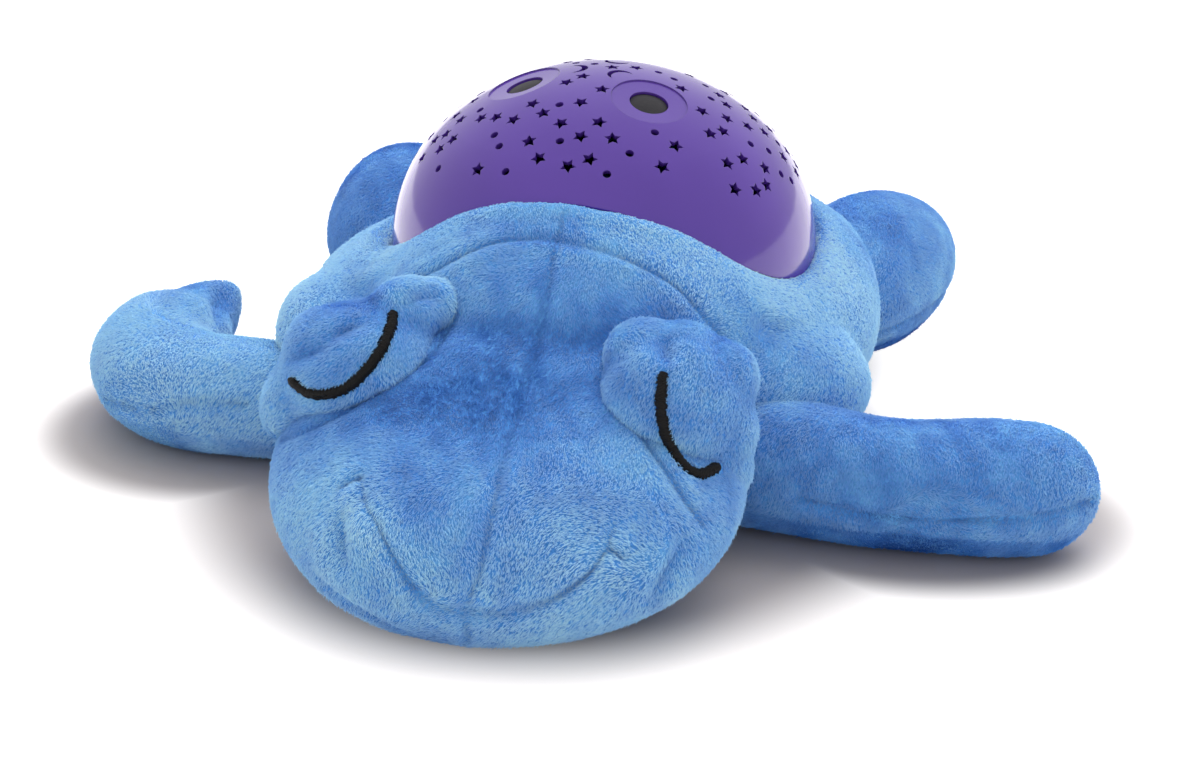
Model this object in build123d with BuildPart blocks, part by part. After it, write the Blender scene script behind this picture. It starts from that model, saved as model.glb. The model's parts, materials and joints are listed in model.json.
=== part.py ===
"""Star night light projector: a plush animal with a perforated dome on its back.

Millimetres, +Z up. The origin lies on the floor under the dome's axis, -Y is the animal's
front and +X is its left flank.
"""

from build123d import *
from math import asin, atan2, cos, degrees, hypot, pi, radians, sin, sqrt
import os

os.makedirs("parts", exist_ok=True)

# ---------------------------------------------------------------- driving dimensions (mm)

# Star shell: a crown arc and a shoulder arc turned about the axis, with a wavy lower rim
dome_radius = 72.5
dome_rise = 61.0
shoulder_radius = 55.0
dome_level = 61.0
shell_wall = 2.0
rim_level = 60.0
rim_flat_front = 12.0
rim_flat_rear = 20.0
rim_arc_front = 52.0
rim_arc_rear = 78.0

# Perforations of the shell
star_radius = 2.7
star_waist = 0.5
dot_radius = 1.35
moon_radius = 4.2
moon_inward = 17.5
hole_count = 420
hole_reach = 66.5
hole_front_margin = 12.5
hole_rear_margin = 6.0
hole_turn = 137.5
hole_scatter = 9.0
hole_spacing = 5.7

# Button dishes
dish_count = 3
dish_first_angle = -45.0
dish_orbit = 27.0
dish_radius = 12.6
dish_lap = 0.5
dish_fall = 0.2
dish_depth = 1.6
dish_wall = 2.0
dish_bore = 6.4

# Push buttons and their switches
button_gap = 0.25
button_recess = 0.8
button_crown = 0.9
button_travel = 0.8
flange_lap = 1.5
flange_thick = 1.2
flange_gap = 0.3
stem_radius = 2.2
stem_length = 2.6
switch_size = 6.0
switch_height = 3.5
plunger_radius = 1.75
plunger_proud = 1.5
plunger_gap = 0.1
cup_wall = 3.4
cup_gap = 0.4
board_thick = 1.6

# Screws
screw_radius = 1.25
screw_head_radius = 2.6
screw_head_height = 1.6
screw_clearance = 0.4
pilot_gap = 0.08

# Clamp collar
collar_gap = 0.2
collar_wall = 1.8
collar_drop = 9.0
collar_lap = 5.0
collar_ring_width = 16.0
plate_thick = 2.0

# Base tub
tub_level = 14.0
tub_wall = 2.2
tub_floor_radius = 60.0
tub_top_inset = 0.6
post_orbit = 54.0
post_radius = 4.6
post_count = 4
shell_post_depth = 12.0
tub_post_seat = 10.0

# Deck, main board and lamps
deck_window = 11.0
board_radius = 34.0
board_drop = 6.4
board_boss_orbit = 29.0
board_boss_radius = 3.2
board_boss_count = 3
led_radius = 2.5
led_flange = 2.95
led_body = 5.0
led_orbit = 4.6
chip_length = 10.0
chip_width = 4.0
chip_height = 1.6
capacitor_radius = 3.2
capacitor_height = 7.0
wire_radius = 0.7

# Battery bay, three AAA cells side by side
cell_radius = 5.25
cell_length = 43.2
cell_nub_radius = 1.9
cell_nub = 0.9
cell_pitch = 11.5
cell_count = 3
bay_front = -20.0
bay_wall = 3.2
bay_roof = 1.8
bay_spring_room = 4.6
bay_margin = 0.6
door_thick = 2.0
door_gap = 0.3
door_screw_end = 9.5
contact_thick = 0.4
spring_wire = 0.4
spring_radius = 2.8
spring_pitch = 1.3

# Plush body
floor_clear = 0.0
seam_gap = 0.3
module_gap = 0.5
neck_plane = -84.0
window_margin = 5.0
flap_thick = 3.0
flap_margin = 7.0
flap_tape_margin = 12.0
flap_gap = 0.6
tape_thick = 1.0
tape_gap = 0.2
tape_inset = 1.5
stitch_width = 2.9
stitch_proud = 0.9
stitch_gap = 0.05
stitch_facing = (0.19, -0.89, 0.41)
# arc's centre beside the eye's middle, its radius, start angle and sweep, seen from the front
stitch_arcs = {"left": ((-9.6, 17.0), 22.5, 1, -116), "right": ((10.7, 2.1), 18.1, 148, 124)}

# Stuffed forms: centre, half sizes, and turn about X, Y and Z in degrees
torso_barrel = ((0, 6, 33), (94, 97, 44), (0, 0, 0))
torso_shoulders = ((-2, -42, 32), (97, 50, 35), (0, 0, 0))
torso_neck = ((0, -50, 50), (65, 50, 43), (0, 0, 0))
head_form = ((-4, -122, 30), (72, 62, 28), (18, 0, 0))
eye_forms = {
    "left": ((-56, -106, 53), (27, 23, 21), (20, 0, 0)),
    "right": ((46, -110, 50), (25, 23, 24), (20, 0, 0)),
}
leg_forms = {
    "left": ((-96, 88, 30), (31, 48, 30), (0, 0, 12)),
    "right": ((87, 92, 28), (30, 50, 29), (0, 0, -12)),
}
arm_radius = 22.0
arm_level = 20.5
arm_routes = {
    "left": ((-62, -66), (-147, -66), (-147, -30)),
    "right": ((60, -78), (105, -85), (140, -83)),
}
# elbow radius, length of the tapered hand, radius of its round end
arm_ends = {"left": (30.0, 18.0, 15.0), "right": (120.0, 10.0, 21.0)}

# ---------------------------------------------------------------- derived sizes

# The crown arc meets the shoulder arc in a common tangent, at a lean from the vertical
shoulder_orbit = dome_radius - shoulder_radius
crown_radius = (shoulder_orbit**2 + dome_rise**2 - shoulder_radius**2) / (2 * (dome_rise - shoulder_radius))
crown_level = dome_level + dome_rise - crown_radius
crown_lean = degrees(atan2(shoulder_orbit, crown_radius - dome_rise))

deck_level = rim_level - plate_thick
ring_level = deck_level - plate_thick
collar_outer = dome_radius - shell_wall - collar_gap
collar_inner = collar_outer - collar_wall
tub_top_radius = collar_inner - tub_top_inset
board_level = deck_level - board_drop
post_angles = [45 + 360 / post_count * k for k in range(post_count)]

bay_length = cell_length + cell_nub + bay_spring_room + contact_thick
bay_depth = cell_count * cell_pitch + bay_margin
bay_rear = bay_front + bay_depth
bay_middle = (bay_front + bay_rear) / 2
cell_level = tub_level + tub_wall + cell_radius + bay_margin / 2
bay_top = cell_level + cell_radius + bay_margin / 2
door_half = bay_length / 2 + bay_wall - door_gap
door_front = bay_front - bay_wall + door_gap
door_rear = bay_rear + door_screw_end
window_half = door_half + window_margin
window_front = door_front - window_margin
window_rear = door_rear + window_margin
flap_half = window_half + flap_margin
flap_front = window_front - flap_tape_margin
flap_rear = window_rear + 1.0
recess_level = flap_thick + 2 * tape_thick + tape_gap


# ---------------------------------------------------------------- helpers


def export(piece, name):
    """Label a finished piece and write it as its own file."""
    piece.label = name
    export_step(piece, f"parts/{name}.step")


def dome_solid(inset, foot):
    """The solid under the dome's surface moved inwards by inset, standing on the level foot."""
    with BuildPart() as dome:
        with BuildSketch(Plane.XZ):
            with BuildLine():
                crown = CenterArc((0, crown_level), crown_radius - inset, 90 - crown_lean, crown_lean)
                shoulder = CenterArc((shoulder_orbit, dome_level), shoulder_radius - inset, 0, 90 - crown_lean)
                Polyline(shoulder @ 0, (dome_radius - inset, foot), (0, foot), crown @ 1)
            make_face()
        revolve(axis=Axis.Z)
    return dome.part


def below_rim(shift):
    """Everything under the shell's wavy rim moved up by shift."""
    level = rim_level + shift
    reach = 2 * dome_radius
    with BuildPart() as under:
        with BuildSketch(Plane.YZ):
            with BuildLine():
                front = CenterArc((-rim_flat_front, level + rim_arc_front), rim_arc_front, -90, -90)
                rear = CenterArc((rim_flat_rear, level + rim_arc_rear), rim_arc_rear, -90, 60)
                Line(front @ 0, rear @ 0)
                Polyline(
                    front @ 1,
                    (-reach, (front @ 1).Y),
                    (-reach, -reach),
                    (reach, -reach),
                    (reach, (rear @ 1).Y),
                    rear @ 1,
                )
            make_face()
        extrude(amount=reach, both=True)
    return under.part


def dome_plane(orbit, angle, turn=0):
    """A plane that touches the dome at a plan radius and angle, turned about its normal."""
    turned = radians(angle)
    lean = asin(orbit / crown_radius)
    level = crown_level + crown_radius * cos(lean)
    if degrees(lean) > crown_lean:
        lean = asin((orbit - shoulder_orbit) / shoulder_radius)
        level = dome_level + shoulder_radius * cos(lean)
    point = Vector(orbit * cos(turned), orbit * sin(turned), level)
    outward = Vector(sin(lean) * cos(turned), sin(lean) * sin(turned), cos(lean))
    sideways = Vector(-sin(turned), cos(turned), 0).rotate(Axis((0, 0, 0), outward), turn)
    return Plane(origin=point, x_dir=sideways, z_dir=outward)


def ellipsoid(form, grow=0.0):
    """A stuffed form's ellipsoid, its half sizes enlarged by grow."""
    centre, halves, turn = form
    with BuildPart() as body:
        Sphere(1)
        scale(by=tuple(half + grow for half in halves))
    return Location(centre, turn) * body.part


def slab(low, high):
    """A plain block between two corners."""
    size = [b - a for a, b in zip(low, high)]
    middle = [(a + b) / 2 for a, b in zip(low, high)]
    return Pos(*middle) * Box(*size, mode=Mode.PRIVATE)


def ring_points(count, orbit, first=0.0):
    """Points spread evenly on a circle."""
    steps = [radians(first + 360 / count * k) for k in range(count)]
    return [(orbit * cos(step), orbit * sin(step)) for step in steps]


above_floor = slab((-300, -300, floor_clear), (300, 300, 300))

# ---------------------------------------------------------------- star shell

dish_angles = [dish_first_angle + 360 / dish_count * k for k in range(dish_count)]
dish_planes = [dome_plane(dish_orbit, angle) for angle in dish_angles]
moon_planes = [dome_plane(dish_orbit - moon_inward, angle) for angle in dish_angles]

# Levels along a dish's own axis, downwards from the dome's surface
dish_floor = dish_depth
dish_under = dish_depth + dish_wall
flange_top = dish_under + flange_gap
flange_under = flange_top + flange_thick
plunger_top = flange_under + stem_length
switch_top = plunger_top + plunger_proud
board_top = switch_top + switch_height
board_under = board_top + board_thick
cup_radius = dish_bore + flange_lap + cup_gap
cup_outer = cup_radius + cup_wall
cup_screw_orbit = cup_radius + cup_wall / 2


def reach_at(angle):
    """How far out, in plan, the perforations go at an angle about the dome's axis."""
    slope = sin(radians(angle))
    margin = hole_front_margin if slope < 0 else hole_rear_margin
    return hole_reach - margin * slope**2


def hole_sites():
    """Scattered plan radius and angle of each perforation, clear of dishes, moons and posts."""
    cap = 1 - sqrt(1 - (hole_reach / dome_radius) ** 2)
    posts = [(post_orbit * cos(radians(a)), post_orbit * sin(radians(a))) for a in post_angles]
    sites = []
    for k in range(hole_count):
        drop = cap * (k + 0.5) / hole_count
        orbit = dome_radius * sqrt(1 - (1 - drop) ** 2) + sin(k * 78.233)
        angle = (k * hole_turn + hole_scatter * sin(k * 12.9898)) % 360
        plane = dome_plane(orbit, angle, hole_turn * k)
        x, y, _ = plane.origin
        keep_off = [(p.origin.X, p.origin.Y, dish_radius + 3.0) for p in dish_planes]
        keep_off += [(p.origin.X, p.origin.Y, moon_radius + 3.0) for p in moon_planes]
        keep_off += [(px, py, post_radius + 2.8) for px, py in posts]
        apart = all((plane.origin - other.origin).length > hole_spacing for other in sites)
        clear = all(hypot(x - a, y - b) > gap for a, b, gap in keep_off)
        if apart and clear and orbit < reach_at(angle):
            sites.append(plane)
    return sites


all_sites = hole_sites()
dot_planes = [plane for k, plane in enumerate(all_sites) if k % 3 == 1]
star_planes = [plane for k, plane in enumerate(all_sites) if k % 3 != 1]

star_points = [
    (r * cos(pi / 2 + k * pi / 5), r * sin(pi / 2 + k * pi / 5))
    for k, r in enumerate([star_radius, star_radius * star_waist] * 5)
]

# One dish: a shallow stepped bowl with the button's bore, its cup and two screw bores below
with BuildPart() as dish:
    with BuildSketch(Plane.XZ):
        with BuildLine():
            Polyline(
                (dish_bore, -dish_floor),
                (dish_radius + dish_lap, -dish_floor + dish_fall),
                (dish_radius + dish_lap, -dish_under + dish_fall),
                (cup_outer, -dish_under),
                (cup_outer, -board_top),
                (cup_radius, -board_top),
                (cup_radius, -dish_under),
                (dish_bore, -dish_under),
                close=True,
            )
        make_face()
    revolve(axis=Axis.Z)
    with BuildSketch(Plane.XY.offset(-board_top)):
        with PolarLocations(cup_screw_orbit, 2):
            Circle(screw_radius + pilot_gap)
    extrude(amount=4.0, mode=Mode.SUBTRACT)

dome_outside = dome_solid(0, tub_level)
dome_inside = dome_solid(shell_wall, tub_level - 1)
under_rim = below_rim(0)

with BuildPart() as shell_posts:
    with BuildSketch(Plane.XY.offset(deck_level + plate_thick)):
        with PolarLocations(post_orbit, post_count, post_angles[0]):
            Circle(post_radius)
    extrude(amount=dome_rise)
    add(dome_solid(shell_wall / 2, tub_level), mode=Mode.INTERSECT)

with BuildPart() as star_shell:
    add(dome_outside)
    add(dome_inside, mode=Mode.SUBTRACT)
    add(under_rim, mode=Mode.SUBTRACT)
    with BuildSketch(*[plane.offset(-dish_under) for plane in dish_planes]):
        Circle(dish_radius)
    extrude(amount=2 * dish_under, mode=Mode.SUBTRACT)
    with Locations(*dish_planes):
        add(dish.part)
    with BuildSketch(*[plane.offset(-2 * shell_wall) for plane in star_planes]):
        with BuildLine():
            Polyline(*star_points, close=True)
        make_face()
    extrude(amount=3 * shell_wall, mode=Mode.SUBTRACT)
    with BuildSketch(*[plane.offset(-2 * shell_wall) for plane in dot_planes]):
        Circle(dot_radius)
    extrude(amount=3 * shell_wall, mode=Mode.SUBTRACT)
    with BuildSketch(*[plane.offset(-2 * shell_wall) for plane in moon_planes]):
        Circle(moon_radius)
        with Locations((0, -0.45 * moon_radius)):
            Circle(0.95 * moon_radius, mode=Mode.SUBTRACT)
    extrude(amount=3 * shell_wall, mode=Mode.SUBTRACT)
    add(shell_posts.part)
    with BuildSketch(Plane.XY.offset(deck_level + plate_thick)):
        with PolarLocations(post_orbit, post_count, post_angles[0]):
            Circle(screw_radius + pilot_gap)
    extrude(amount=shell_post_depth, mode=Mode.SUBTRACT)
export(star_shell.part, "star_shell")

# ---------------------------------------------------------------- clamp collar, deck

with BuildPart() as clamp_collar:
    add(dome_solid(shell_wall + collar_gap, rim_level - 2 * collar_drop))
    add(dome_solid(shell_wall + collar_gap + collar_wall, rim_level - 3 * collar_drop), mode=Mode.SUBTRACT)
    add(below_rim(-collar_drop), mode=Mode.SUBTRACT)
    add(below_rim(collar_lap), mode=Mode.INTERSECT)
    with BuildSketch(Plane.XY.offset(ring_level)):
        Circle(collar_outer - collar_wall / 2)
        Circle(collar_inner - collar_ring_width, mode=Mode.SUBTRACT)
        with PolarLocations(post_orbit, post_count, post_angles[0]):
            Circle(screw_radius + screw_clearance, mode=Mode.SUBTRACT)
    extrude(amount=plate_thick)
export(clamp_collar.part, "clamp_collar")

lead_holes = ring_points(dish_count, 20.0, dish_first_angle)

with BuildPart() as deck:
    with BuildSketch(Plane.XY.offset(deck_level)):
        Circle(collar_inner - collar_gap)
        Circle(deck_window, mode=Mode.SUBTRACT)
        with PolarLocations(post_orbit, post_count, post_angles[0]):
            Circle(screw_radius + screw_clearance, mode=Mode.SUBTRACT)
        with Locations(*lead_holes):
            Circle(2 * wire_radius, mode=Mode.SUBTRACT)
    extrude(amount=plate_thick)
    with BuildSketch(Plane.XY.offset(board_level + board_thick)):
        with PolarLocations(board_boss_orbit, board_boss_count, 90):
            Circle(board_boss_radius)
    extrude(amount=board_drop - board_thick)
    with BuildSketch(Plane.XY.offset(board_level + board_thick)):
        with PolarLocations(board_boss_orbit, board_boss_count, 90):
            Circle(screw_radius + pilot_gap)
    extrude(amount=board_drop - board_thick, mode=Mode.SUBTRACT)
export(deck.part, "deck")

# ---------------------------------------------------------------- base tub with battery bay

tub_floor = tub_level + tub_wall
post_seat = ring_level - tub_post_seat
door_screw_at = (0, bay_rear + door_screw_end / 2)

with BuildPart() as tub_posts:
    with BuildSketch(Plane.XY.offset(tub_level)):
        with PolarLocations(post_orbit, post_count, post_angles[0]):
            Circle(post_radius)
    extrude(amount=ring_level - tub_level)

with BuildPart() as base_tub:
    with BuildSketch(Plane.XY.offset(tub_level)):
        Circle(tub_floor_radius)
    with BuildSketch(Plane.XY.offset(ring_level)):
        Circle(tub_top_radius)
    loft()
    with BuildSketch(Plane.XY.offset(tub_floor)):
        Circle(tub_floor_radius - tub_wall)
    with BuildSketch(Plane.XY.offset(ring_level)):
        Circle(tub_top_radius - tub_wall)
    loft(mode=Mode.SUBTRACT)
    add(tub_posts.part)
    add(slab((-door_half - bay_wall, bay_front - 2 * bay_wall, tub_level),
             (door_half + bay_wall, door_rear + bay_wall, bay_top + bay_roof)))
    # recess for the door, then the bay for the cells above it
    add(slab((-door_half - door_gap, door_front - door_gap, tub_level),
             (door_half + door_gap, door_rear + door_gap, tub_floor)), mode=Mode.SUBTRACT)
    add(slab((-bay_length / 2, bay_front, tub_floor),
             (bay_length / 2, bay_rear, bay_top)), mode=Mode.SUBTRACT)
    add(slab((-bay_length / 2, bay_rear + bay_wall, tub_floor + 6 * screw_radius),
             (bay_length / 2, door_rear, bay_top + bay_roof)), mode=Mode.SUBTRACT)
    # door screw's pilot bore
    with BuildSketch(Plane.XY.offset(tub_floor)):
        with Locations(door_screw_at):
            Circle(screw_radius + pilot_gap)
    extrude(amount=4 * screw_radius, mode=Mode.SUBTRACT)
    # screw wells from below and clearance bores through the tops of the posts
    with BuildSketch(Plane.XY.offset(tub_level)):
        with PolarLocations(post_orbit, post_count, post_angles[0]):
            Circle(screw_head_radius + screw_clearance)
    extrude(amount=post_seat - tub_level, mode=Mode.SUBTRACT)
    with BuildSketch(Plane.XY.offset(post_seat)):
        with PolarLocations(post_orbit, post_count, post_angles[0]):
            Circle(screw_radius + screw_clearance)
    extrude(amount=tub_post_seat, mode=Mode.SUBTRACT)
export(base_tub.part, "base_tub")

with BuildPart() as battery_door:
    add(slab((-door_half, door_front, tub_floor - door_thick), (door_half, door_rear, tub_floor)))
    fillet(battery_door.edges().filter_by(Axis.Z), radius=2)
    with BuildSketch(Plane.XY.offset(tub_floor - door_thick)):
        with Locations(door_screw_at):
            Circle(screw_radius + pilot_gap)
    extrude(amount=door_thick, mode=Mode.SUBTRACT)
    with BuildSketch(Plane.XY.offset(tub_floor - door_thick)):
        with GridLocations(0, 3.0, 1, 5):
            with Locations((0, door_front + 12.0)):
                SlotOverall(16.0, 1.2)
    extrude(amount=0.6, mode=Mode.SUBTRACT)
export(battery_door.part, "battery_door")

# ---------------------------------------------------------------- screws


def screw(at, seat, length):
    """A round-head screw with its head under the level seat and its shank pointing up."""
    with BuildPart() as body:
        with BuildSketch(Plane.XY.offset(seat - screw_head_height)):
            with Locations(at):
                Circle(screw_head_radius)
        extrude(amount=screw_head_height)
        fillet(body.faces().sort_by(Axis.Z)[0].edges(), radius=0.5)
        with BuildSketch(Plane.XY.offset(seat)):
            with Locations(at):
                Circle(screw_radius)
        extrude(amount=length)
        with BuildSketch(Plane.XY.offset(seat - screw_head_height)):
            with Locations(at):
                Rectangle(2.8, 0.7)
                Rectangle(0.7, 2.8)
        extrude(amount=0.9, mode=Mode.SUBTRACT)
    return body.part


post_points = ring_points(post_count, post_orbit, post_angles[0])
shell_screw_length = deck_level + plate_thick + shell_post_depth - 1.0 - post_seat
export(Compound(children=[screw(at, post_seat, shell_screw_length) for at in post_points]), "shell_screws")

boss_points = ring_points(board_boss_count, board_boss_orbit, 90)
board_screw_length = board_drop - 0.4
export(Compound(children=[screw(at, board_level, board_screw_length) for at in boss_points]), "board_screws")

door_seat = tub_floor - door_thick
export(screw(door_screw_at, door_seat, door_thick + 4 * screw_radius - 0.6), "battery_door_screw")

# ---------------------------------------------------------------- cells and contacts

cell_rows = [bay_front + bay_margin / 2 + cell_pitch * (k + 0.5) for k in range(cell_count)]
cell_ends = [1 if k % 2 == 0 else -1 for k in range(cell_count)]
nub_side = bay_length / 2 - contact_thick

for number, (row, end) in enumerate(zip(cell_rows, cell_ends), start=1):
    nub_face = nub_side - 0.1
    can_plane = Plane(origin=(end * (nub_face - cell_nub), row, cell_level), z_dir=(-end, 0, 0))
    with BuildPart() as battery_cell:
        with BuildSketch(can_plane):
            Circle(cell_radius)
        extrude(amount=cell_length)
        fillet(battery_cell.edges().filter_by(GeomType.CIRCLE), radius=0.6)
        with BuildSketch(can_plane):
            Circle(cell_nub_radius)
        extrude(amount=-cell_nub)
    export(battery_cell.part, f"battery_cell_{number}")

plates = []
springs = []
for row, end in zip(cell_rows, cell_ends):
    for side in (1, -1):
        face = side * (bay_length / 2 - contact_thick / 2)
        plates.append(Pos(face, row, cell_level) * Box(contact_thick, 8.0, 8.0))
    start = -end * (bay_length / 2 - contact_thick)
    room = bay_length - 2 * contact_thick - cell_length - cell_nub - 0.1
    with BuildPart() as spring:
        with BuildLine():
            coil = Helix(
                spring_pitch,
                room - 4 * spring_wire,
                spring_radius,
                center=(start + end * 2 * spring_wire, row, cell_level),
                direction=(end, 0, 0),
            )
        with BuildSketch(Plane(origin=coil @ 0, z_dir=coil % 0)):
            Circle(spring_wire)
        sweep()
    springs.append(spring.part)
export(Compound(children=plates), "contact_plates")
export(Compound(children=springs), "contact_springs")

# ---------------------------------------------------------------- main board and what it carries

with BuildPart() as main_board:
    with BuildSketch(Plane.XY.offset(board_level)):
        Circle(board_radius)
        with PolarLocations(board_boss_orbit, board_boss_count, 90):
            Circle(screw_radius + screw_clearance, mode=Mode.SUBTRACT)
    extrude(amount=board_thick)
export(main_board.part, "main_board")

board_face = board_level + board_thick
for name, at in zip(("red", "green", "blue"), ring_points(3, led_orbit, 90)):
    with BuildPart() as led:
        with BuildSketch(Plane.XY.offset(board_face)):
            with Locations(at):
                Circle(led_flange)
        extrude(amount=1.0)
        with BuildSketch(Plane.XY.offset(board_face)):
            with Locations(at):
                Circle(led_radius)
        extrude(amount=led_body)
        with Locations((at[0], at[1], board_face + led_body)):
            Sphere(led_radius)
    export(led.part, f"led_{name}")

with BuildPart() as timer_chip:
    with BuildSketch(Plane.XY.offset(board_level - chip_height)):
        with Locations((0, -17)):
            Rectangle(chip_length, chip_width)
    extrude(amount=chip_height)
    with BuildSketch(Plane.XY.offset(board_level - chip_height / 2)):
        with Locations((0, -17)):
            with GridLocations(1.27, 0, 7, 1):
                Rectangle(0.4, chip_width + 2.0)
    extrude(amount=chip_height / 2)
export(timer_chip.part, "timer_chip")

with BuildPart() as capacitor:
    with BuildSketch(Plane.XY.offset(board_level - capacitor_height)):
        with Locations((16, -6)):
            Circle(capacitor_radius)
    extrude(amount=capacitor_height)
    fillet(capacitor.edges().sort_by(Axis.Z)[0], radius=0.4)
export(capacitor.part, "capacitor")

# ---------------------------------------------------------------- buttons, plungers, switches

button_names = ("power", "timer", "colour")

with BuildPart() as button:
    with BuildSketch(Plane.XZ):
        with BuildLine():
            rim_drop = dish_floor + button_recess
            crown = ThreePointArc(
                (0, -rim_drop + button_crown),
                ((dish_bore - button_gap) / 2, -rim_drop + 0.78 * button_crown),
                (dish_bore - button_gap, -rim_drop),
            )
            Polyline(
                crown @ 1,
                (dish_bore - button_gap, -flange_top),
                (dish_bore + flange_lap, -flange_top),
                (dish_bore + flange_lap, -flange_under),
                (stem_radius, -flange_under),
                (stem_radius, -plunger_top),
                (0, -plunger_top),
                crown @ 0,
            )
        make_face()
    revolve(axis=Axis.Z)

with BuildPart() as plunger:
    with BuildSketch(Plane.XY.offset(-plunger_top)):
        Circle(plunger_radius)
    extrude(amount=-plunger_proud - 1.0)

with BuildPart() as switch:
    with BuildSketch(Plane.XY.offset(-board_top)):
        RectangleRounded(switch_size, switch_size, 0.5)
    extrude(amount=switch_height)
    with BuildSketch(Plane.XY.offset(-switch_top)):
        Circle(plunger_radius + plunger_gap)
    extrude(amount=-1.0 - button_travel - 0.3, mode=Mode.SUBTRACT)

with BuildPart() as switch_board:
    with BuildSketch(Plane.XY.offset(-board_under)):
        Circle(cup_outer)
        with PolarLocations(cup_screw_orbit, 2):
            Circle(screw_radius + pilot_gap, mode=Mode.SUBTRACT)
    extrude(amount=board_thick)

cup_screws = []
for name, plane in zip(button_names, dish_planes):
    place = plane.location
    export(place * button.part, f"{name}_button")
    export(place * plunger.part, f"{name}_plunger")
    export(place * switch.part, f"{name}_switch")
    export(place * switch_board.part, f"{name}_switch_board")
    for at in ring_points(2, cup_screw_orbit):
        cup_screws.append(place * screw(at, -board_under, board_thick + 3.6))
export(Compound(children=cup_screws), "switch_board_screws")

# ---------------------------------------------------------------- internal leads


def lead(points, radius):
    """A round wire along straight runs joined by tangent arcs."""
    with BuildPart() as wire:
        with BuildLine():
            route = FilletPolyline(*points, radius=radius)
        with BuildSketch(Plane(origin=route @ 0, z_dir=route % 0)):
            Circle(wire_radius)
        sweep()
    return wire.part


battery_leads = []
for side in (1, -1):
    foot = (side * (bay_length / 2 - 6), bay_middle, bay_top + bay_roof)
    top = (side * 12, bay_middle - 4, board_level)
    knee = bay_top + bay_roof + 8
    battery_leads.append(lead([foot, (foot[0], foot[1], knee), (top[0], top[1], knee), top], 3.0))
export(Compound(children=battery_leads), "battery_leads")

switch_leads = []
for plane, hole in zip(dish_planes, lead_holes):
    start = plane.offset(-board_under).origin
    down = plane.offset(-board_under - 8.0).origin
    knee = (hole[0], hole[1], deck_level + 16.0)
    end = (hole[0], hole[1], board_face)
    switch_leads.append(lead([start, down, knee, end], 4.0))
export(Compound(children=switch_leads), "switch_leads")

# ---------------------------------------------------------------- plush body

# The hollow that holds the light module: tub, collar band and the shell above its rim
with BuildPart() as module_space:
    with BuildSketch(Plane.XY.offset(tub_level - module_gap)):
        Circle(tub_floor_radius + module_gap)
    with BuildSketch(Plane.XY.offset(ring_level)):
        Circle(collar_outer + module_gap)
    loft()
    add(dome_solid(shell_wall + collar_gap - module_gap, rim_level - collar_drop - module_gap))

with BuildPart() as shell_space:
    add(dome_solid(-module_gap, tub_level))
    add(below_rim(-module_gap), mode=Mode.SUBTRACT)

barrel = ellipsoid(torso_barrel)
shoulders = ellipsoid(torso_shoulders)
neck = ellipsoid(torso_neck)
barrel_grown = ellipsoid(torso_barrel, seam_gap)
shoulders_grown = ellipsoid(torso_shoulders, seam_gap)
neck_grown = ellipsoid(torso_neck, seam_gap)
head_grown = ellipsoid(head_form, seam_gap)
far_front = slab((-200, -300, -50), (200, neck_plane, 200))
head_limit = slab((-200, -300, -50), (200, neck_plane - seam_gap, 200))

with BuildPart() as torso_nape:
    add(neck)
    add(far_front, mode=Mode.SUBTRACT)

with BuildPart() as torso:
    add(barrel)
    add(shoulders)
    add(torso_nape.part)
    add(above_floor, mode=Mode.INTERSECT)
    add(module_space.part, mode=Mode.SUBTRACT)
    add(shell_space.part, mode=Mode.SUBTRACT)
    # service window through the belly, and the flap's recess around it
    add(slab((-window_half, window_front, -1), (window_half, window_rear, tub_level + 1)), mode=Mode.SUBTRACT)
    add(slab((-flap_half - flap_gap, flap_front - flap_gap, -1),
             (flap_half + flap_gap, flap_rear + flap_gap, recess_level)), mode=Mode.SUBTRACT)
export(torso.part, "torso")

with BuildPart() as head:
    add(ellipsoid(head_form))
    add(neck)
    add(head_limit, mode=Mode.INTERSECT)
    add(barrel_grown, mode=Mode.SUBTRACT)
    add(shoulders_grown, mode=Mode.SUBTRACT)
    add(above_floor, mode=Mode.INTERSECT)
export(head.part, "head")

for side, form in eye_forms.items():
    with BuildPart() as eye_pad:
        add(ellipsoid(form))
        add(head_grown, mode=Mode.SUBTRACT)
        add(neck_grown, mode=Mode.SUBTRACT)
        add(barrel_grown, mode=Mode.SUBTRACT)
        add(shoulders_grown, mode=Mode.SUBTRACT)
    export(eye_pad.part, f"eye_pad_{side}")

for side, form in eye_forms.items():
    middle, radius, start, turn = stitch_arcs[side]
    level_sideways = Vector(0, 0, 1).cross(Vector(stitch_facing))
    facing = Plane(origin=form[0], x_dir=level_sideways, z_dir=stitch_facing)
    under_thread = ellipsoid(form, stitch_gap)
    over_thread = ellipsoid(form, stitch_proud)
    with BuildPart() as eye_stitch:
        with BuildSketch(facing):
            with BuildLine():
                CenterArc(middle, radius, start, turn)
            trace(line_width=stitch_width)
        extrude(amount=2 * form[1][0])
        add(over_thread, mode=Mode.INTERSECT)
        add(under_thread, mode=Mode.SUBTRACT)
        add(head_grown, mode=Mode.SUBTRACT)
    export(eye_stitch.part, f"eye_stitch_{side}")

for side, form in leg_forms.items():
    with BuildPart() as leg:
        add(ellipsoid(form))
        add(barrel_grown, mode=Mode.SUBTRACT)
        add(above_floor, mode=Mode.INTERSECT)
    export(leg.part, f"leg_{side}")

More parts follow.
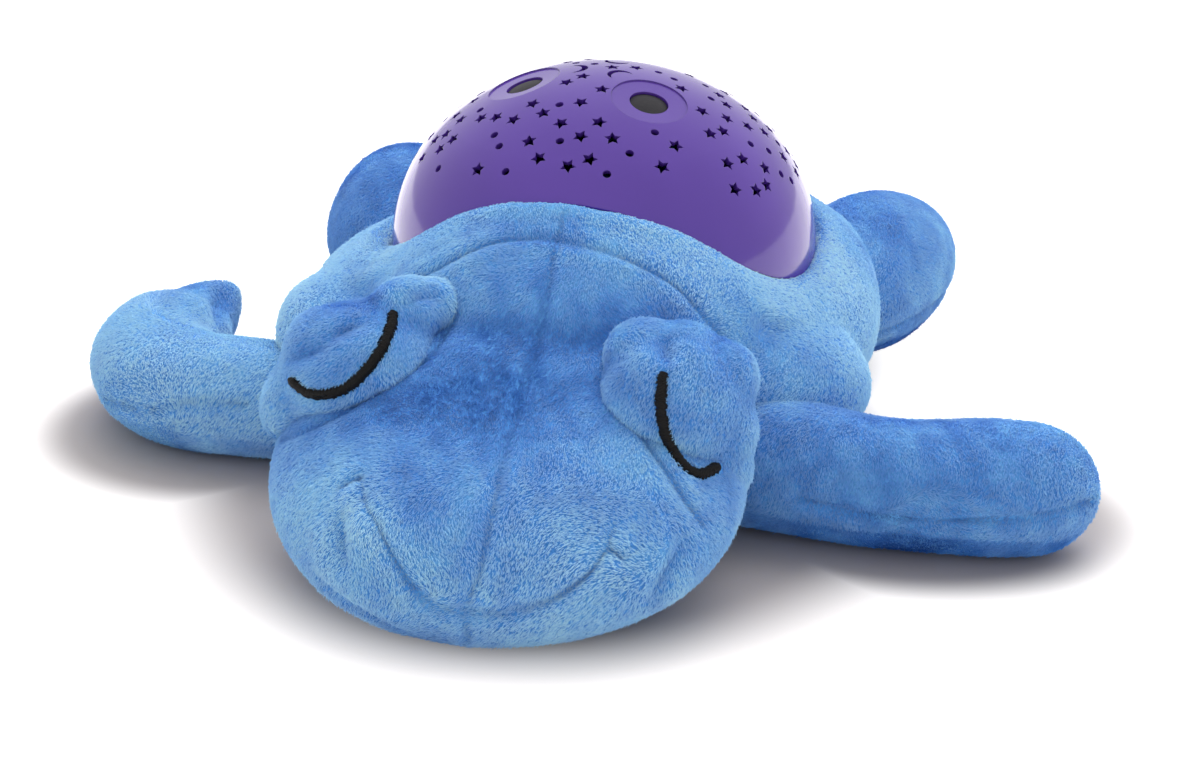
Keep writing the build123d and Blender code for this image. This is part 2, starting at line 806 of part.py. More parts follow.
for side, route in arm_routes.items():
    elbow, hand_length, hand_radius = arm_ends[side]
    with BuildPart() as arm:
        with BuildLine():
            points = [(x, y, arm_level) for x, y in route]
            bone = FilletPolyline(*points, radius=elbow)
        with BuildSketch(Plane(origin=bone @ 0, z_dir=bone % 0)):
            Circle(arm_radius)
        sweep()
        wrist = Plane(origin=bone @ 1, z_dir=bone % 1)
        with BuildSketch(wrist):
            Circle(arm_radius)
        with BuildSketch(wrist.offset(hand_length)):
            Circle(hand_radius)
        loft()
        with Locations(wrist.offset(hand_length).origin):
            Sphere(hand_radius)
        add(above_floor, mode=Mode.INTERSECT)
        add(shoulders_grown, mode=Mode.SUBTRACT)
        add(barrel_grown, mode=Mode.SUBTRACT)
        add(head_grown, mode=Mode.SUBTRACT)
    export(arm.part, f"arm_{side}")

# ---------------------------------------------------------------- belly flap and its tapes

with BuildPart() as belly_flap:
    add(slab((-flap_half, flap_front, 0), (flap_half, flap_rear, flap_thick)))
    fillet(belly_flap.edges().filter_by(Axis.Z).group_by(Axis.Y)[0], radius=8)
export(belly_flap.part, "belly_flap")

tape_half = window_half
tape_front = flap_front + tape_inset
tape_rear = window_front - tape_inset
with BuildPart() as loop_strip:
    add(slab((-tape_half, tape_front, flap_thick), (tape_half, tape_rear, flap_thick + tape_thick)))
export(loop_strip.part, "loop_strip")

with BuildPart() as hook_strip:
    add(slab((-tape_half, tape_front, recess_level - tape_thick), (tape_half, tape_rear, recess_level)))
export(hook_strip.part, "hook_strip")
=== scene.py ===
import json
import math

import bmesh
import bpy
import numpy as np
from mathutils import Matrix, Vector
from mathutils.bvhtree import BVHTree


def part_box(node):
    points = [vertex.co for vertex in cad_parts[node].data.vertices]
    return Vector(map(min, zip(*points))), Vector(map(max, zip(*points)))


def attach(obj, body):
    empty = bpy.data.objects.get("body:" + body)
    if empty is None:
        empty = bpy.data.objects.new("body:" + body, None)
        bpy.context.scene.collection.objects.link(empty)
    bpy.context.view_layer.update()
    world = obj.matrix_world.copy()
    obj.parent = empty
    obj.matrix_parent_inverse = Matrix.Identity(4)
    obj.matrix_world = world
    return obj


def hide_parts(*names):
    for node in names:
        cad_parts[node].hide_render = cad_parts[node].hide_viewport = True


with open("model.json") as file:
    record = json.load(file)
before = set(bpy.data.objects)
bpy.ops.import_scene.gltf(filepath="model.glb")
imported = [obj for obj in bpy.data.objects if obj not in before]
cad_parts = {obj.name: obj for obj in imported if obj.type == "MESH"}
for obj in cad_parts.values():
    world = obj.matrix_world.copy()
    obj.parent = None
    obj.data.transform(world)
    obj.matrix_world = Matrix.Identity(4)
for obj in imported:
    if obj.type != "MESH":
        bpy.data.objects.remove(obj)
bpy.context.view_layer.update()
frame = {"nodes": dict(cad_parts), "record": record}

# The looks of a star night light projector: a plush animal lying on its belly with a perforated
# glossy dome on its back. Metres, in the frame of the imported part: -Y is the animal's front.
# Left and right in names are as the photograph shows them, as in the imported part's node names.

ROOT = "plush_and_housing"
SIDES = ("left", "right")
scene = bpy.context.scene
scene.view_settings.view_transform = "Standard"

# ---------------------------------------------------------------- camera

PHOTO_SIZE = (1200, 773)
CAMERA_AT = Vector((0.1355, -0.6442, 0.2989))
CAMERA_TURN = math.radians(12)
CAMERA_PITCH = math.radians(24)
CAMERA_NEAR = 0.05
FOCAL_PIXELS = 2030
SENSOR = 36.0

forward = Vector((
    -math.sin(CAMERA_TURN) * math.cos(CAMERA_PITCH),
    math.cos(CAMERA_TURN) * math.cos(CAMERA_PITCH),
    -math.sin(CAMERA_PITCH),
))
right = Vector((math.cos(CAMERA_TURN), math.sin(CAMERA_TURN), 0))
up = right.cross(forward)


def add_camera():
    """The camera at the photograph's viewing angle."""
    data = bpy.data.cameras.new("camera")
    data.sensor_width = SENSOR
    data.lens = SENSOR * FOCAL_PIXELS / PHOTO_SIZE[0]
    data.clip_start = CAMERA_NEAR
    camera = bpy.data.objects.new("camera", data)
    scene.collection.objects.link(camera)
    turn = Matrix((right, up, -forward)).transposed().to_4x4()
    camera.matrix_world = Matrix.Translation(CAMERA_AT) @ turn
    scene.camera = camera


def sight(pixel):
    """The direction from the camera through a pixel of the photograph."""
    x, y = pixel
    across = (x - PHOTO_SIZE[0] / 2) / FOCAL_PIXELS
    down = (y - PHOTO_SIZE[1] / 2) / FOCAL_PIXELS
    return (forward + right * across - up * down).normalized()


def at_depth(pixel, middle, behind):
    """The point behind a pixel on a plane across the view, some way behind a middle point."""
    line = sight(pixel)
    run = ((Vector(middle) - CAMERA_AT).dot(forward) + behind) / line.dot(forward)
    return CAMERA_AT + line * run


# ---------------------------------------------------------------- curves of one value


def bell(values, middle, width):
    """1 where a value is at the middle, and softly down to 0 on both sides of it."""
    return np.exp(-(((values - middle) / width) ** 2))


def rise(values, start, reach):
    """0 up to a start, and straight up to 1 within a reach after it."""
    return np.clip((values - start) / reach, 0, 1)


def scaled(values, share):
    """A colour or a size, times a share."""
    return tuple(share * v for v in values)


RIPPLE_WAVES = 10
RIPPLE_RANGE = (0.7, 1.6)


def ripple(points, scale, seed):
    """Smooth wandering values between about -1 and 1, from a few waves in random directions."""
    draw = np.random.default_rng(seed)
    total = np.zeros(len(points))
    for _ in range(RIPPLE_WAVES):
        direction = draw.normal(size=3)
        direction /= np.linalg.norm(direction)
        wave = 2 * math.pi / (scale * draw.uniform(*RIPPLE_RANGE))
        total += np.sin(points @ direction * wave + draw.uniform(0, 2 * math.pi))
    return total / math.sqrt(RIPPLE_WAVES)


# ---------------------------------------------------------------- mesh tools

# A step towards the neighbours, and the share of it that the next step takes back to keep the volume
RELAX_STEP, RELAX_BACK = 0.5, 0.94
BULGE_ROUNDS = 10


def link(name, mesh, body=ROOT):
    """A new piece with a mesh that rides on a body."""
    piece = bpy.data.objects.new(name, mesh)
    scene.collection.objects.link(piece)
    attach(piece, body)
    return piece


def new_mesh(points, faces):
    """A mesh from its points and faces."""
    mesh = bpy.data.meshes.new("made")
    mesh.from_pydata([tuple(p) for p in points], [], faces)
    mesh.update()
    return mesh


def from_bmesh(made):
    """A mesh from a bmesh, which is freed."""
    mesh = bpy.data.meshes.new("made")
    made.to_mesh(mesh)
    made.free()
    return mesh


def joined(meshes):
    """One bmesh that holds several meshes."""
    made = bmesh.new()
    for mesh in meshes:
        made.from_mesh(mesh)
    return made


def remeshed(mesh, voxel):
    """One even skin over a mesh's closed parts."""
    holder = bpy.data.objects.new("holder", mesh)
    scene.collection.objects.link(holder)
    modifier = holder.modifiers.new("REMESH", "REMESH")
    modifier.mode = "VOXEL"
    modifier.voxel_size = voxel
    bpy.context.view_layer.update()
    result = bpy.data.meshes.new_from_object(holder.evaluated_get(bpy.context.evaluated_depsgraph_get()))
    bpy.data.objects.remove(holder)
    return result


def smooth_shade(mesh):
    """Shades a mesh's faces as one smooth surface."""
    mesh.polygons.foreach_set("use_smooth", np.ones(len(mesh.polygons), bool))
    mesh.update()


def coords(mesh):
    """A mesh's vertices as an array."""
    flat = np.empty(len(mesh.vertices) * 3, np.float32)
    mesh.vertices.foreach_get("co", flat)
    return flat.reshape(-1, 3).astype(float)


def set_coords(mesh, points):
    """Moves a mesh's vertices."""
    mesh.vertices.foreach_set("co", points.astype(np.float32).ravel())
    mesh.update()


def normals(mesh):
    """A mesh's vertex normals as an array."""
    flat = np.empty(len(mesh.vertices) * 3, np.float32)
    mesh.vertex_normals.foreach_get("vector", flat)
    return flat.reshape(-1, 3).astype(float)


def edge_ends(mesh):
    """The two vertices of each of a mesh's edges, as two arrays."""
    edges = np.empty(len(mesh.edges) * 2, np.int32)
    mesh.edges.foreach_get("vertices", edges)
    return edges.reshape(-1, 2).T


def triangle_corners(mesh):
    """The three vertices of each of a mesh's triangles."""
    mesh.calc_loop_triangles()
    corners = np.empty(len(mesh.loop_triangles) * 3, np.int32)
    mesh.loop_triangles.foreach_get("vertices", corners)
    return corners.reshape(-1, 3)


def neighbour_mean(mesh):
    """A function that averages values over each vertex's neighbours."""
    a, b = edge_ends(mesh)
    size = len(mesh.vertices)
    count = np.bincount(np.r_[a, b], minlength=size)

    def mean(values):
        columns = values.reshape(size, -1).T
        sums = [np.bincount(np.r_[a, b], weights=np.r_[v[b], v[a]], minlength=size) / count for v in columns]
        return np.array(sums).T.reshape(values.shape)

    return mean


def relax(mesh, rounds, where=1.0):
    """Evens a mesh out: each vertex moves towards the middle of its neighbours, and most of the way back."""
    mean = neighbour_mean(mesh)
    points = coords(mesh)
    for _ in range(rounds):
        for step in (RELAX_STEP, -RELAX_STEP * RELAX_BACK):
            points += step * where * (mean(points) - points)
    set_coords(mesh, points)


def bulge(mesh):
    """How sharply a mesh bends at its vertices, as 1 over a radius: above 0 on ridges, below 0 in folds."""
    mean = neighbour_mean(mesh)
    points = coords(mesh)
    a, b = edge_ends(mesh)
    spacing = ((points[a] - points[b]) ** 2).sum(1).mean()
    bend = 2 * ((points - mean(points)) * normals(mesh)).sum(1) / spacing
    for _ in range(BULGE_ROUNDS):
        bend = mean(bend)
    return bend


def soft_mesh(parts, voxel, rounds):
    """One even skin over several closed meshes, its creases softened."""
    mesh = remeshed(from_bmesh(joined(parts)), voxel)
    relax(mesh, rounds)
    return mesh


def cad_mesh(node, scale=(1, 1, 1), about=(0, 0, 0), by=(0, 0, 0)):
    """A copy of a CAD solid's mesh, scaled about a point and moved."""
    mesh = frame["nodes"][node].data.copy()
    mesh.materials.clear()
    set_coords(mesh, (coords(mesh) - about) * np.array(scale) + about + np.array(by))
    return mesh


def ball(at, radius):
    """A ball's mesh."""
    made = bmesh.new()
    bmesh.ops.create_icosphere(made, subdivisions=3, radius=radius, matrix=Matrix.Translation(at))
    return from_bmesh(made)


def tube(path, radii, sides=12, closed=False):
    """A round tube's points and faces along a path, with closed ends unless the path is a ring."""
    path = np.asarray(path, float)
    run = np.roll(path, -1, 0) - np.roll(path, 1, 0)
    if not closed:
        run[0], run[-1] = path[1] - path[0], path[-1] - path[-2]
    run /= np.linalg.norm(run, axis=1)[:, None]
    side = np.cross(run, (0.0, 0.0, 1.0))
    upright = np.linalg.norm(side, axis=1) < 1e-6
    side[upright] = (1.0, 0.0, 0.0)
    side /= np.linalg.norm(side, axis=1)[:, None]
    upward = np.cross(side, run)
    turn = np.arange(sides) * 2 * math.pi / sides
    radii = np.broadcast_to(radii, len(path))[:, None, None]
    spokes = np.cos(turn)[:, None] * side[:, None] + np.sin(turn)[:, None] * upward[:, None]
    rings = path[:, None] + radii * spokes
    count = len(path)
    faces = []
    for k in range(count if closed else count - 1):
        a, b = k * sides, (k + 1) % count * sides
        faces += [(a + i, a + (i + 1) % sides, b + (i + 1) % sides, b + i) for i in range(sides)]
    if not closed:
        faces += [tuple(range(sides - 1, -1, -1)), tuple(range((count - 1) * sides, count * sides))]
    return rings.reshape(-1, 3), faces


# ---------------------------------------------------------------- paths on a mesh

NEAR_WIDTHS = 3
FADE_CURVE = 0.7
PUFF, PUFF_AT, PUFF_WIDTH = 0.35, 2.6, 1.5


def away(points, path):
    """Each point's distance from a path of straight runs, and how far along the path it is nearest."""
    path = np.asarray(path, float)
    best = np.full(len(points), np.inf)
    place = np.zeros(len(points))
    run = 0.0
    total = sum(np.linalg.norm(b - a) for a, b in zip(path, path[1:]))
    for a, b in zip(path, path[1:]):
        d = b - a
        size = np.linalg.norm(d)
        t = np.clip((points - a) @ d / size**2, 0, 1)
        gap = np.linalg.norm(points - (a + t[:, None] * d), axis=1)
        closer = gap < best
        best[closer] = gap[closer]
        place[closer] = (run + t[closer] * size) / total
        run += size
    return best, place


def nearness(points, paths, width):
    """1 on any of some paths and 0 well away from them."""
    near = np.zeros(len(points))
    for path in paths:
        low, high = path.min(0) - NEAR_WIDTHS * width, path.max(0) + NEAR_WIDTHS * width
        inside = np.flatnonzero(((points > low) & (points < high)).all(1))
        if len(inside):
            gap = away(points[inside], path)[0]
            near[inside] = np.maximum(near[inside], bell(gap, 0, width))
    return near


def smooth_path(points, steps):
    """A path rounded through its points, with more points between them."""
    points = np.asarray(points, float)
    padded = np.vstack([2 * points[0] - points[1], points, 2 * points[-1] - points[-2]])
    made = []
    for k in range(1, len(padded) - 2):
        p0, p1, p2, p3 = padded[k - 1:k + 3]
        for t in np.arange(steps) / steps:
            made.append(0.5 * (2 * p1 + (p2 - p0) * t + (2 * p0 - 5 * p1 + 4 * p2 - p3) * t**2
                               + (3 * p1 - p0 - 3 * p2 + p3) * t**3))
    made.append(points[-1])
    return np.array(made)


def face_tree(mesh):
    """A search tree over a mesh's faces."""
    return BVHTree.FromPolygons([v.co for v in mesh.vertices], [p.vertices for p in mesh.polygons])


def seen_path(meshes, pixels, steps=6):
    """The path on some meshes that the camera sees behind a row of pixels of the photograph."""
    trees = [face_tree(mesh) for mesh in meshes]
    found = []
    for pixel in smooth_path(np.c_[np.array(pixels, float), np.zeros(len(pixels))], steps)[:, :2]:
        hits = [tree.ray_cast(CAMERA_AT, sight(pixel)) for tree in trees]
        hits = [(h[3], h[0]) for h in hits if h[0] is not None]
        if hits:
            found.append(min(hits, key=lambda h: h[0])[1])
    return np.array(found)


def fade(place, ends):
    """A factor that falls to 0 at a path's two ends, over that share of its length."""
    if not ends:
        return 1.0
    return np.clip(np.minimum(place, 1 - place) / ends, 0, 1) ** FADE_CURVE


def crease(mesh, path, width, depth, ends):
    """Presses a rounded channel into a mesh along a path, and lifts the fabric a little beside it."""
    if len(path) < 2:
        return
    points, outward = coords(mesh), normals(mesh)
    gap, place = away(points, path)
    strength = fade(place, ends)
    channel = bell(gap, 0, width)
    beside = bell(gap, PUFF_AT * width, PUFF_WIDTH * width)
    set_coords(mesh, points + outward * (strength * depth * (PUFF * beside - channel))[:, None])


def press(mesh, at, radius, by):
    """Moves the mesh round a point by a vector, less and less away from it."""
    points = coords(mesh)
    reach = np.linalg.norm((points - np.array(at)) / np.array(radius), axis=1)
    set_coords(mesh, points + np.exp(-reach**2)[:, None] * np.array(by))


def pull(mesh, pixel, behind, middle, radius):
    """Draws a mesh out to a corner at a pixel."""
    goal = np.array(at_depth(pixel, middle, behind))
    points = coords(mesh)
    nearest = points[np.argmin(np.linalg.norm(points - goal, axis=1))]
    press(mesh, nearest, (radius,) * 3, goal - nearest)


# ---------------------------------------------------------------- materials


class Nodes:
    """A small helper that builds the nodes of a material or a world in front of its shader."""

    def __init__(self, owner, shader="Principled BSDF"):
        owner.use_nodes = True
        self.owner = owner
        self.tree = owner.node_tree
        self.shader = self.tree.nodes[shader]

    def add(self, kind, inputs=None, **settings):
        """A new node with its settings and inputs."""
        node = self.tree.nodes.new(kind)
        for key, value in settings.items():
            setattr(node, key, value)
        for key, value in (inputs or {}).items():
            self.put(node, key, value)
        return node

    def put(self, node, key, value):
        """Gives a node's input a constant, or links it to another node's output."""
        if isinstance(value, bpy.types.NodeSocket):
            self.tree.links.new(value, node.inputs[key])
        else:
            node.inputs[key].default_value = value

    def set(self, **values):
        """Gives the shader its inputs."""
        for key, value in values.items():
            self.put(self.shader, key.replace("_", " "), value)

    def place(self):
        """The place on the object, in metres."""
        return self.add("ShaderNodeTexCoord").outputs["Object"]

    def noise(self, vector, scale, detail=3.0, roughness=0.5, distortion=0.0):
        inputs = {"Vector": vector, "Scale": scale, "Detail": detail, "Roughness": roughness,
                  "Distortion": distortion}
        return self.add("ShaderNodeTexNoise", inputs).outputs["Fac"]

    def stretch(self, vector, scale):
        return self.add("ShaderNodeMapping", {"Vector": vector, "Scale": scale}).outputs["Vector"]

    def ramp(self, value, *stops):
        """A colour ramp over stops, each a place and its colour."""
        node = self.add("ShaderNodeValToRGB", {"Fac": value})
        ramp = node.color_ramp
        while len(ramp.elements) < len(stops):
            ramp.elements.new(0.5)
        for element, (at, colour) in zip(ramp.elements, stops):
            element.position = at
            element.color = (*colour, 1)
        return node.outputs["Color"]

    def mix(self, share, a, b, blend="MIX"):
        """Two colours mixed. The Mix node has its colours at inputs 6 and 7 and at output 2."""
        node = self.add("ShaderNodeMix", {0: share}, data_type="RGBA", blend_type=blend)
        for index, colour in ((6, a), (7, b)):
            self.put(node, index, (*colour, 1) if isinstance(colour, tuple) else colour)
        return node.outputs[2]

    def math(self, operation, a, b=0.0):
        return self.add("ShaderNodeMath", {0: a, 1: b}, operation=operation).outputs[0]

    def total(self, *terms):
        """Values added up, each times its weight."""
        parts = [self.math("MULTIPLY", value, weight) for value, weight in terms]
        result = parts[0]
        for part in parts[1:]:
            result = self.math("ADD", result, part)
        return result

    def graded(self, value, base, spread):
        """A base, plus a spread times a value between 0 and 1."""
        return self.math("ADD", self.math("MULTIPLY", value, spread), base)

    def bump(self, height, distance, strength, normal=None):
        inputs = {"Height": height, "Distance": distance, "Strength": strength}
        if normal is not None:
            inputs["Normal"] = normal
        return self.add("ShaderNodeBump", inputs).outputs["Normal"]

    def attribute(self, name):
        return self.add("ShaderNodeAttribute", attribute_name=name).outputs["Fac"]

    def seen(self):
        """1 for the camera's rays, in reflections and through glass, and 0 for light that bounces."""
        path = self.add("ShaderNodeLightPath").outputs
        seen = self.math("MAXIMUM", path["Is Camera Ray"], path["Is Glossy Ray"])
        return self.math("MAXIMUM", seen, path["Is Transmission Ray"])


def new_nodes(name):
    """A new material's nodes."""
    return Nodes(bpy.data.materials.new(name))


PLUSH_LIGHT = (0.23, 0.58, 0.92)
PLUSH_MIDDLE = (0.090, 0.33, 0.80)
PLUSH_DARK = (0.038, 0.175, 0.56)
PLUSH_SHEEN = (0.62, 0.80, 1.0, 1)
# The pile's colour deep in seams, as painted shade
PLUSH_SEAM_SHADE = (0.025, 0.10, 0.36)
PILE_TIP = (0.62, 0.89, 1.0)
PATCH_WEIGHT, STREAK_WEIGHT = 0.55, 0.25


def plush_patterns(m, at):
    """Brushed patches and streaks, the same in the ground fabric and in its pile."""
    patches = m.noise(at, 42, detail=4, roughness=0.6, distortion=0.6)
    streaks = m.noise(m.stretch(at, (1.0, 0.45, 1.6)), 130, roughness=0.6, distortion=0.4)
    return patches, streaks


def plush_material(name):
    """The ground fabric: brushed patches lighter and darker, fine fibres, a soft sheen."""
    m = new_nodes(name)
    at = m.place()
    patches, streaks = plush_patterns(m, at)
    fibres = m.noise(m.stretch(at, (1.0, 0.4, 0.7)), 1500, detail=2, roughness=0.6, distortion=0.5)
    blend = m.total((patches, PATCH_WEIGHT), (streaks, STREAK_WEIGHT), (fibres, 0.20))
    colour = m.ramp(blend, (0.24, PLUSH_DARK), (0.47, PLUSH_MIDDLE), (0.72, PLUSH_LIGHT))
    speckle = m.ramp(fibres, (0.3, (0.82, 0.82, 0.82)), (0.7, (1.0, 1.0, 1.0)))
    height = m.total((fibres, 0.35), (streaks, 0.8))
    m.set(Base_Color=m.mix(1.0, colour, speckle, "MULTIPLY"), Roughness=0.85, Specular_IOR_Level=0.15)
    m.set(Sheen_Weight=0.35, Sheen_Roughness=0.45, Sheen_Tint=PLUSH_SHEEN)
    m.set(Normal=m.bump(height, distance=0.0012, strength=0.8))
    return m.owner


def pile_material(name):
    """The fibres of the pile: the ground fabric's patches, paler towards their tips, with brushed nap and
    painted sheen and shade, darkened in seams as painted shade.
    """
    m = new_nodes(name)
    fibre = m.add("ShaderNodeHairInfo").outputs
    patches, streaks = plush_patterns(m, m.place())
    # Brushed nap and painted sheen and shade, which also set how pale the tips are
    brush_and_painted_light = m.attribute("brush_and_painted_light")
    blend = m.total((patches, PATCH_WEIGHT), (streaks, STREAK_WEIGHT), (fibre["Random"], 0.12), (brush_and_painted_light, 0.22))
    colour = m.ramp(blend, (0.24, PLUSH_DARK), (0.44, PLUSH_MIDDLE), (0.66, PLUSH_LIGHT))
    paleness = m.math("MAXIMUM", m.graded(brush_and_painted_light, 0.38, 0.45), 0.0)
    tips = m.math("MULTIPLY", m.math("POWER", fibre["Intercept"], 0.7), paleness)
    # Fibres near seams darkened towards the seam colour, as painted shade
    seam = m.math("MULTIPLY", m.attribute("seam"), 0.6)
    m.set(Base_Color=m.mix(seam, m.mix(tips, colour, PILE_TIP), PLUSH_SEAM_SHADE), Roughness=0.6,
          Specular_IOR_Level=0.2)
    return m.owner


def gloss_material(name, colour, dark):
    """Moulded glossy plastic with a faint flow in its tint, and edges rounded in shading."""
    m = new_nodes(name)
    at = m.place()
    flow = m.noise(at, 14, detail=2, distortion=0.8)
    fine = m.noise(at, 60, detail=2)
    edge = m.add("ShaderNodeBevel", {"Radius": 0.0004}, samples=4).outputs["Normal"]
    m.set(Base_Color=m.ramp(flow, (0.35, dark), (0.65, colour)), Roughness=m.graded(fine, 0.1, 0.06))
    m.set(Specular_IOR_Level=0.42, Coat_Weight=0.15, Coat_Roughness=0.06)
    m.set(Normal=m.bump(fine, distance=0.0004, strength=0.12, normal=edge))
    return m.owner


def plastic_material(name, colour, roughness):
    """Moulded plastic with a fine spark-eroded grain."""
    m = new_nodes(name)
    at = m.place()
    grain = m.noise(at, 900)
    slow = m.noise(at, 25, detail=2)
    m.set(Base_Color=m.ramp(slow, (0.3, scaled(colour, 0.82)), (0.7, colour)))
    m.set(Roughness=m.graded(grain, roughness - 0.07, 0.15))
    m.set(Normal=m.bump(grain, distance=0.0002, strength=0.35))
    return m.owner


def metal_material(name, colour, roughness):
    """Plated metal with fine drawing marks."""
    m = new_nodes(name)
    marks = m.noise(m.stretch(m.place(), (1, 1, 8)), 400, roughness=0.6)
    m.set(Base_Color=m.ramp(marks, (0.3, scaled(colour, 0.75)), (0.7, colour)), Metallic=1.0)
    m.set(Roughness=m.graded(marks, roughness - 0.1, 0.2))
    m.set(Normal=m.bump(marks, distance=0.0001, strength=0.3))
    return m.owner


def lamp_material(name, colour):
    """A tinted clear LED body."""
    m = new_nodes(name)
    tint = m.noise(m.place(), 300, detail=1)
    m.set(Base_Color=m.ramp(tint, (0.3, scaled(colour, 0.7)), (0.7, colour)), Roughness=0.08, IOR=1.5,
          Transmission_Weight=0.6)
    return m.owner


def board_material(name):
    """Solder mask over copper tracks."""
    m = new_nodes(name)
    bricks = {"Vector": m.place(), "Scale": 90.0, "Mortar Size": 0.03}
    tracks = m.add("ShaderNodeTexBrick", bricks, offset=0.35).outputs["Fac"]
    m.set(Base_Color=m.mix(tracks, (0.012, 0.13, 0.05), (0.03, 0.25, 0.10)), Roughness=0.3)
    m.set(Normal=m.bump(tracks, distance=0.0001, strength=0.4))
    return m.owner


def tape_material(name):
    """Hook and loop tape: a dense field of tiny loops."""
    m = new_nodes(name)
    loops = m.add("ShaderNodeTexVoronoi", {"Vector": m.place(), "Scale": 900.0}).outputs["Distance"]
    m.set(Base_Color=m.ramp(loops, (0.0, (0.04, 0.13, 0.36)), (0.6, (0.14, 0.36, 0.72))), Roughness=0.8,
          Sheen_Weight=0.3)
    m.set(Normal=m.bump(loops, distance=0.0006, strength=0.8))
    return m.owner


def cell_material(name):
    """A battery's wrap: dark, with one plain copper-coloured band."""
    m = new_nodes(name)
    along = m.add("ShaderNodeSeparateXYZ", {"Vector": m.place()}).outputs["X"]
    band = m.ramp(along, (0.0, (0.03, 0.035, 0.04)), (0.006, (0.55, 0.33, 0.10)))
    m.set(Base_Color=band, Roughness=0.25, Metallic=0.3)
    return m.owner


def wire_material(name, colour):
    """A wire's plain insulation, a little uneven."""
    m = new_nodes(name)
    wear = m.noise(m.place(), 250)
    m.set(Base_Color=m.ramp(wear, (0.35, scaled(colour, 0.7)), (0.65, colour)), Roughness=0.4)
    m.set(Normal=m.bump(wear, distance=0.0001, strength=0.3))
    return m.owner


def thread_material(name):
    """Black embroidery floss with its own twist."""
    m = new_nodes(name)
    twist = m.noise(m.stretch(m.place(), (1, 1, 4)), 900, detail=2)
    m.set(Base_Color=m.ramp(twist, (0.3, (0.002, 0.002, 0.002)), (0.7, (0.010, 0.009, 0.009))), Roughness=0.6,
          Specular_IOR_Level=0.2)
    m.set(Normal=m.bump(twist, distance=0.0003, strength=0.6))
    return m.owner


# Each material's slot, with what makes it and that function's values: colours, then a roughness
LOOKS = {
    "purple_gloss": (gloss_material, (0.100, 0.038, 0.350), (0.086, 0.031, 0.310)),
    "purple_dark": (gloss_material, (0.06, 0.02, 0.18), (0.05, 0.015, 0.15)),
    "black_plastic": (plastic_material, (0.014, 0.013, 0.016), 0.55),
    "white_plastic": (plastic_material, (0.72, 0.72, 0.71), 0.4),
    "screw_steel": (metal_material, (0.6, 0.6, 0.62), 0.3),
    "cell_wrap": (cell_material,),
    "contact_metal": (metal_material, (0.72, 0.72, 0.70), 0.25),
    "board_green": (board_material,),
    "led_red": (lamp_material, (0.85, 0.08, 0.06)),
    "led_green": (lamp_material, (0.08, 0.7, 0.15)),
    "led_blue": (lamp_material, (0.08, 0.2, 0.9)),
    "chip_black": (plastic_material, (0.02, 0.02, 0.022), 0.5),
    "wire_red": (wire_material, (0.55, 0.03, 0.02)),
    "wire_black": (wire_material, (0.02, 0.02, 0.022)),
    "button_black": (plastic_material, (0.006, 0.004, 0.010), 0.6),
    "switch_grey": (plastic_material, (0.2, 0.2, 0.22), 0.5),
    "tape": (tape_material,),
    "plush": (plush_material,),
    "pile": (pile_material,),
    "stitch": (thread_material,),
}
MATERIALS = {slot: make(slot, *values) for slot, (make, *values) in LOOKS.items()}


def dress_cad_nodes():
    """Every CAD node gets the material of its record slot."""
    for row in frame["record"]["subparts"]:
        node = frame["nodes"][row["node"]]
        node.data.materials.clear()
        node.data.materials.append(MATERIALS[row["material_slot"]])


# ---------------------------------------------------------------- the shell's rim, as in the CAD

DOME_RADIUS, DOME_LEVEL, SHOULDER_RADIUS = 0.0725, 0.061, 0.055
SHOULDER_TOP = 0.95
RIM_LEVEL, RIM_FLAT_FRONT, RIM_FLAT_REAR = 0.060, 0.012, 0.020
RIM_ARC_FRONT, RIM_ARC_REAR = 0.052, 0.078
RIM_STEPS, RIM_HALVINGS = 144, 40
MODULE_FLOOR = 0.0135


def dome_reach(level):
    """The shell's outer plan radius at some levels, up to its shoulder."""
    above = np.clip(np.asarray(level, float) - DOME_LEVEL, 0, SHOULDER_TOP * SHOULDER_RADIUS)
    return DOME_RADIUS - SHOULDER_RADIUS + np.sqrt(SHOULDER_RADIUS**2 - above**2)


def shell_gap(points):
    """How far outside the shell some points are, in plan."""
    return np.hypot(points[:, 0], points[:, 1]) - dome_reach(points[:, 2])


def rim_height(y):
    """The wavy rim's level at some places along the body."""
    ahead = np.clip(-RIM_FLAT_FRONT - y, 0, RIM_ARC_FRONT)
    behind = np.clip(y - RIM_FLAT_REAR, 0, RIM_ARC_REAR)
    return (RIM_LEVEL + RIM_ARC_FRONT - np.sqrt(RIM_ARC_FRONT**2 - ahead**2)
            + RIM_ARC_REAR - np.sqrt(RIM_ARC_REAR**2 - behind**2))


def rim_path(out, drop):
    """The rim's ring, moved outwards and down: its level at each turn is found by halving."""
    turn = np.arange(RIM_STEPS) * 2 * math.pi / RIM_STEPS
    low, high = np.full(RIM_STEPS, RIM_LEVEL), np.full(RIM_STEPS, RIM_LEVEL + RIM_ARC_FRONT)
    for _ in range(RIM_HALVINGS):
        level = (low + high) / 2
        above = level > rim_height(dome_reach(level) * np.sin(turn))
        high, low = np.where(above, level, high), np.where(above, low, level)
    reach = dome_reach(level) + out
    return np.c_[reach * np.cos(turn), reach * np.sin(turn), level - drop]


# ---------------------------------------------------------------- short pile

PILE_DENSITY = 5.0e6
PILE_HEIGHT, PILE_HEIGHT_RANGE = 0.00050, (0.6, 1.2)
PILE_REACH, PILE_REACH_RANGE = 0.0013, (0.6, 1.15)
PILE_WIDTH, PILE_TAPER = 0.000086, (0.9, 1.0, 0.35)
PILE_KNEE_HEIGHT, PILE_KNEE_REACH = 0.75, 0.4
PILE_ROOT = 0.0002
PILE_SCATTER = 0.20
PILE_START_LEVEL = 0.0008
PILE_FLOOR = 0.0002

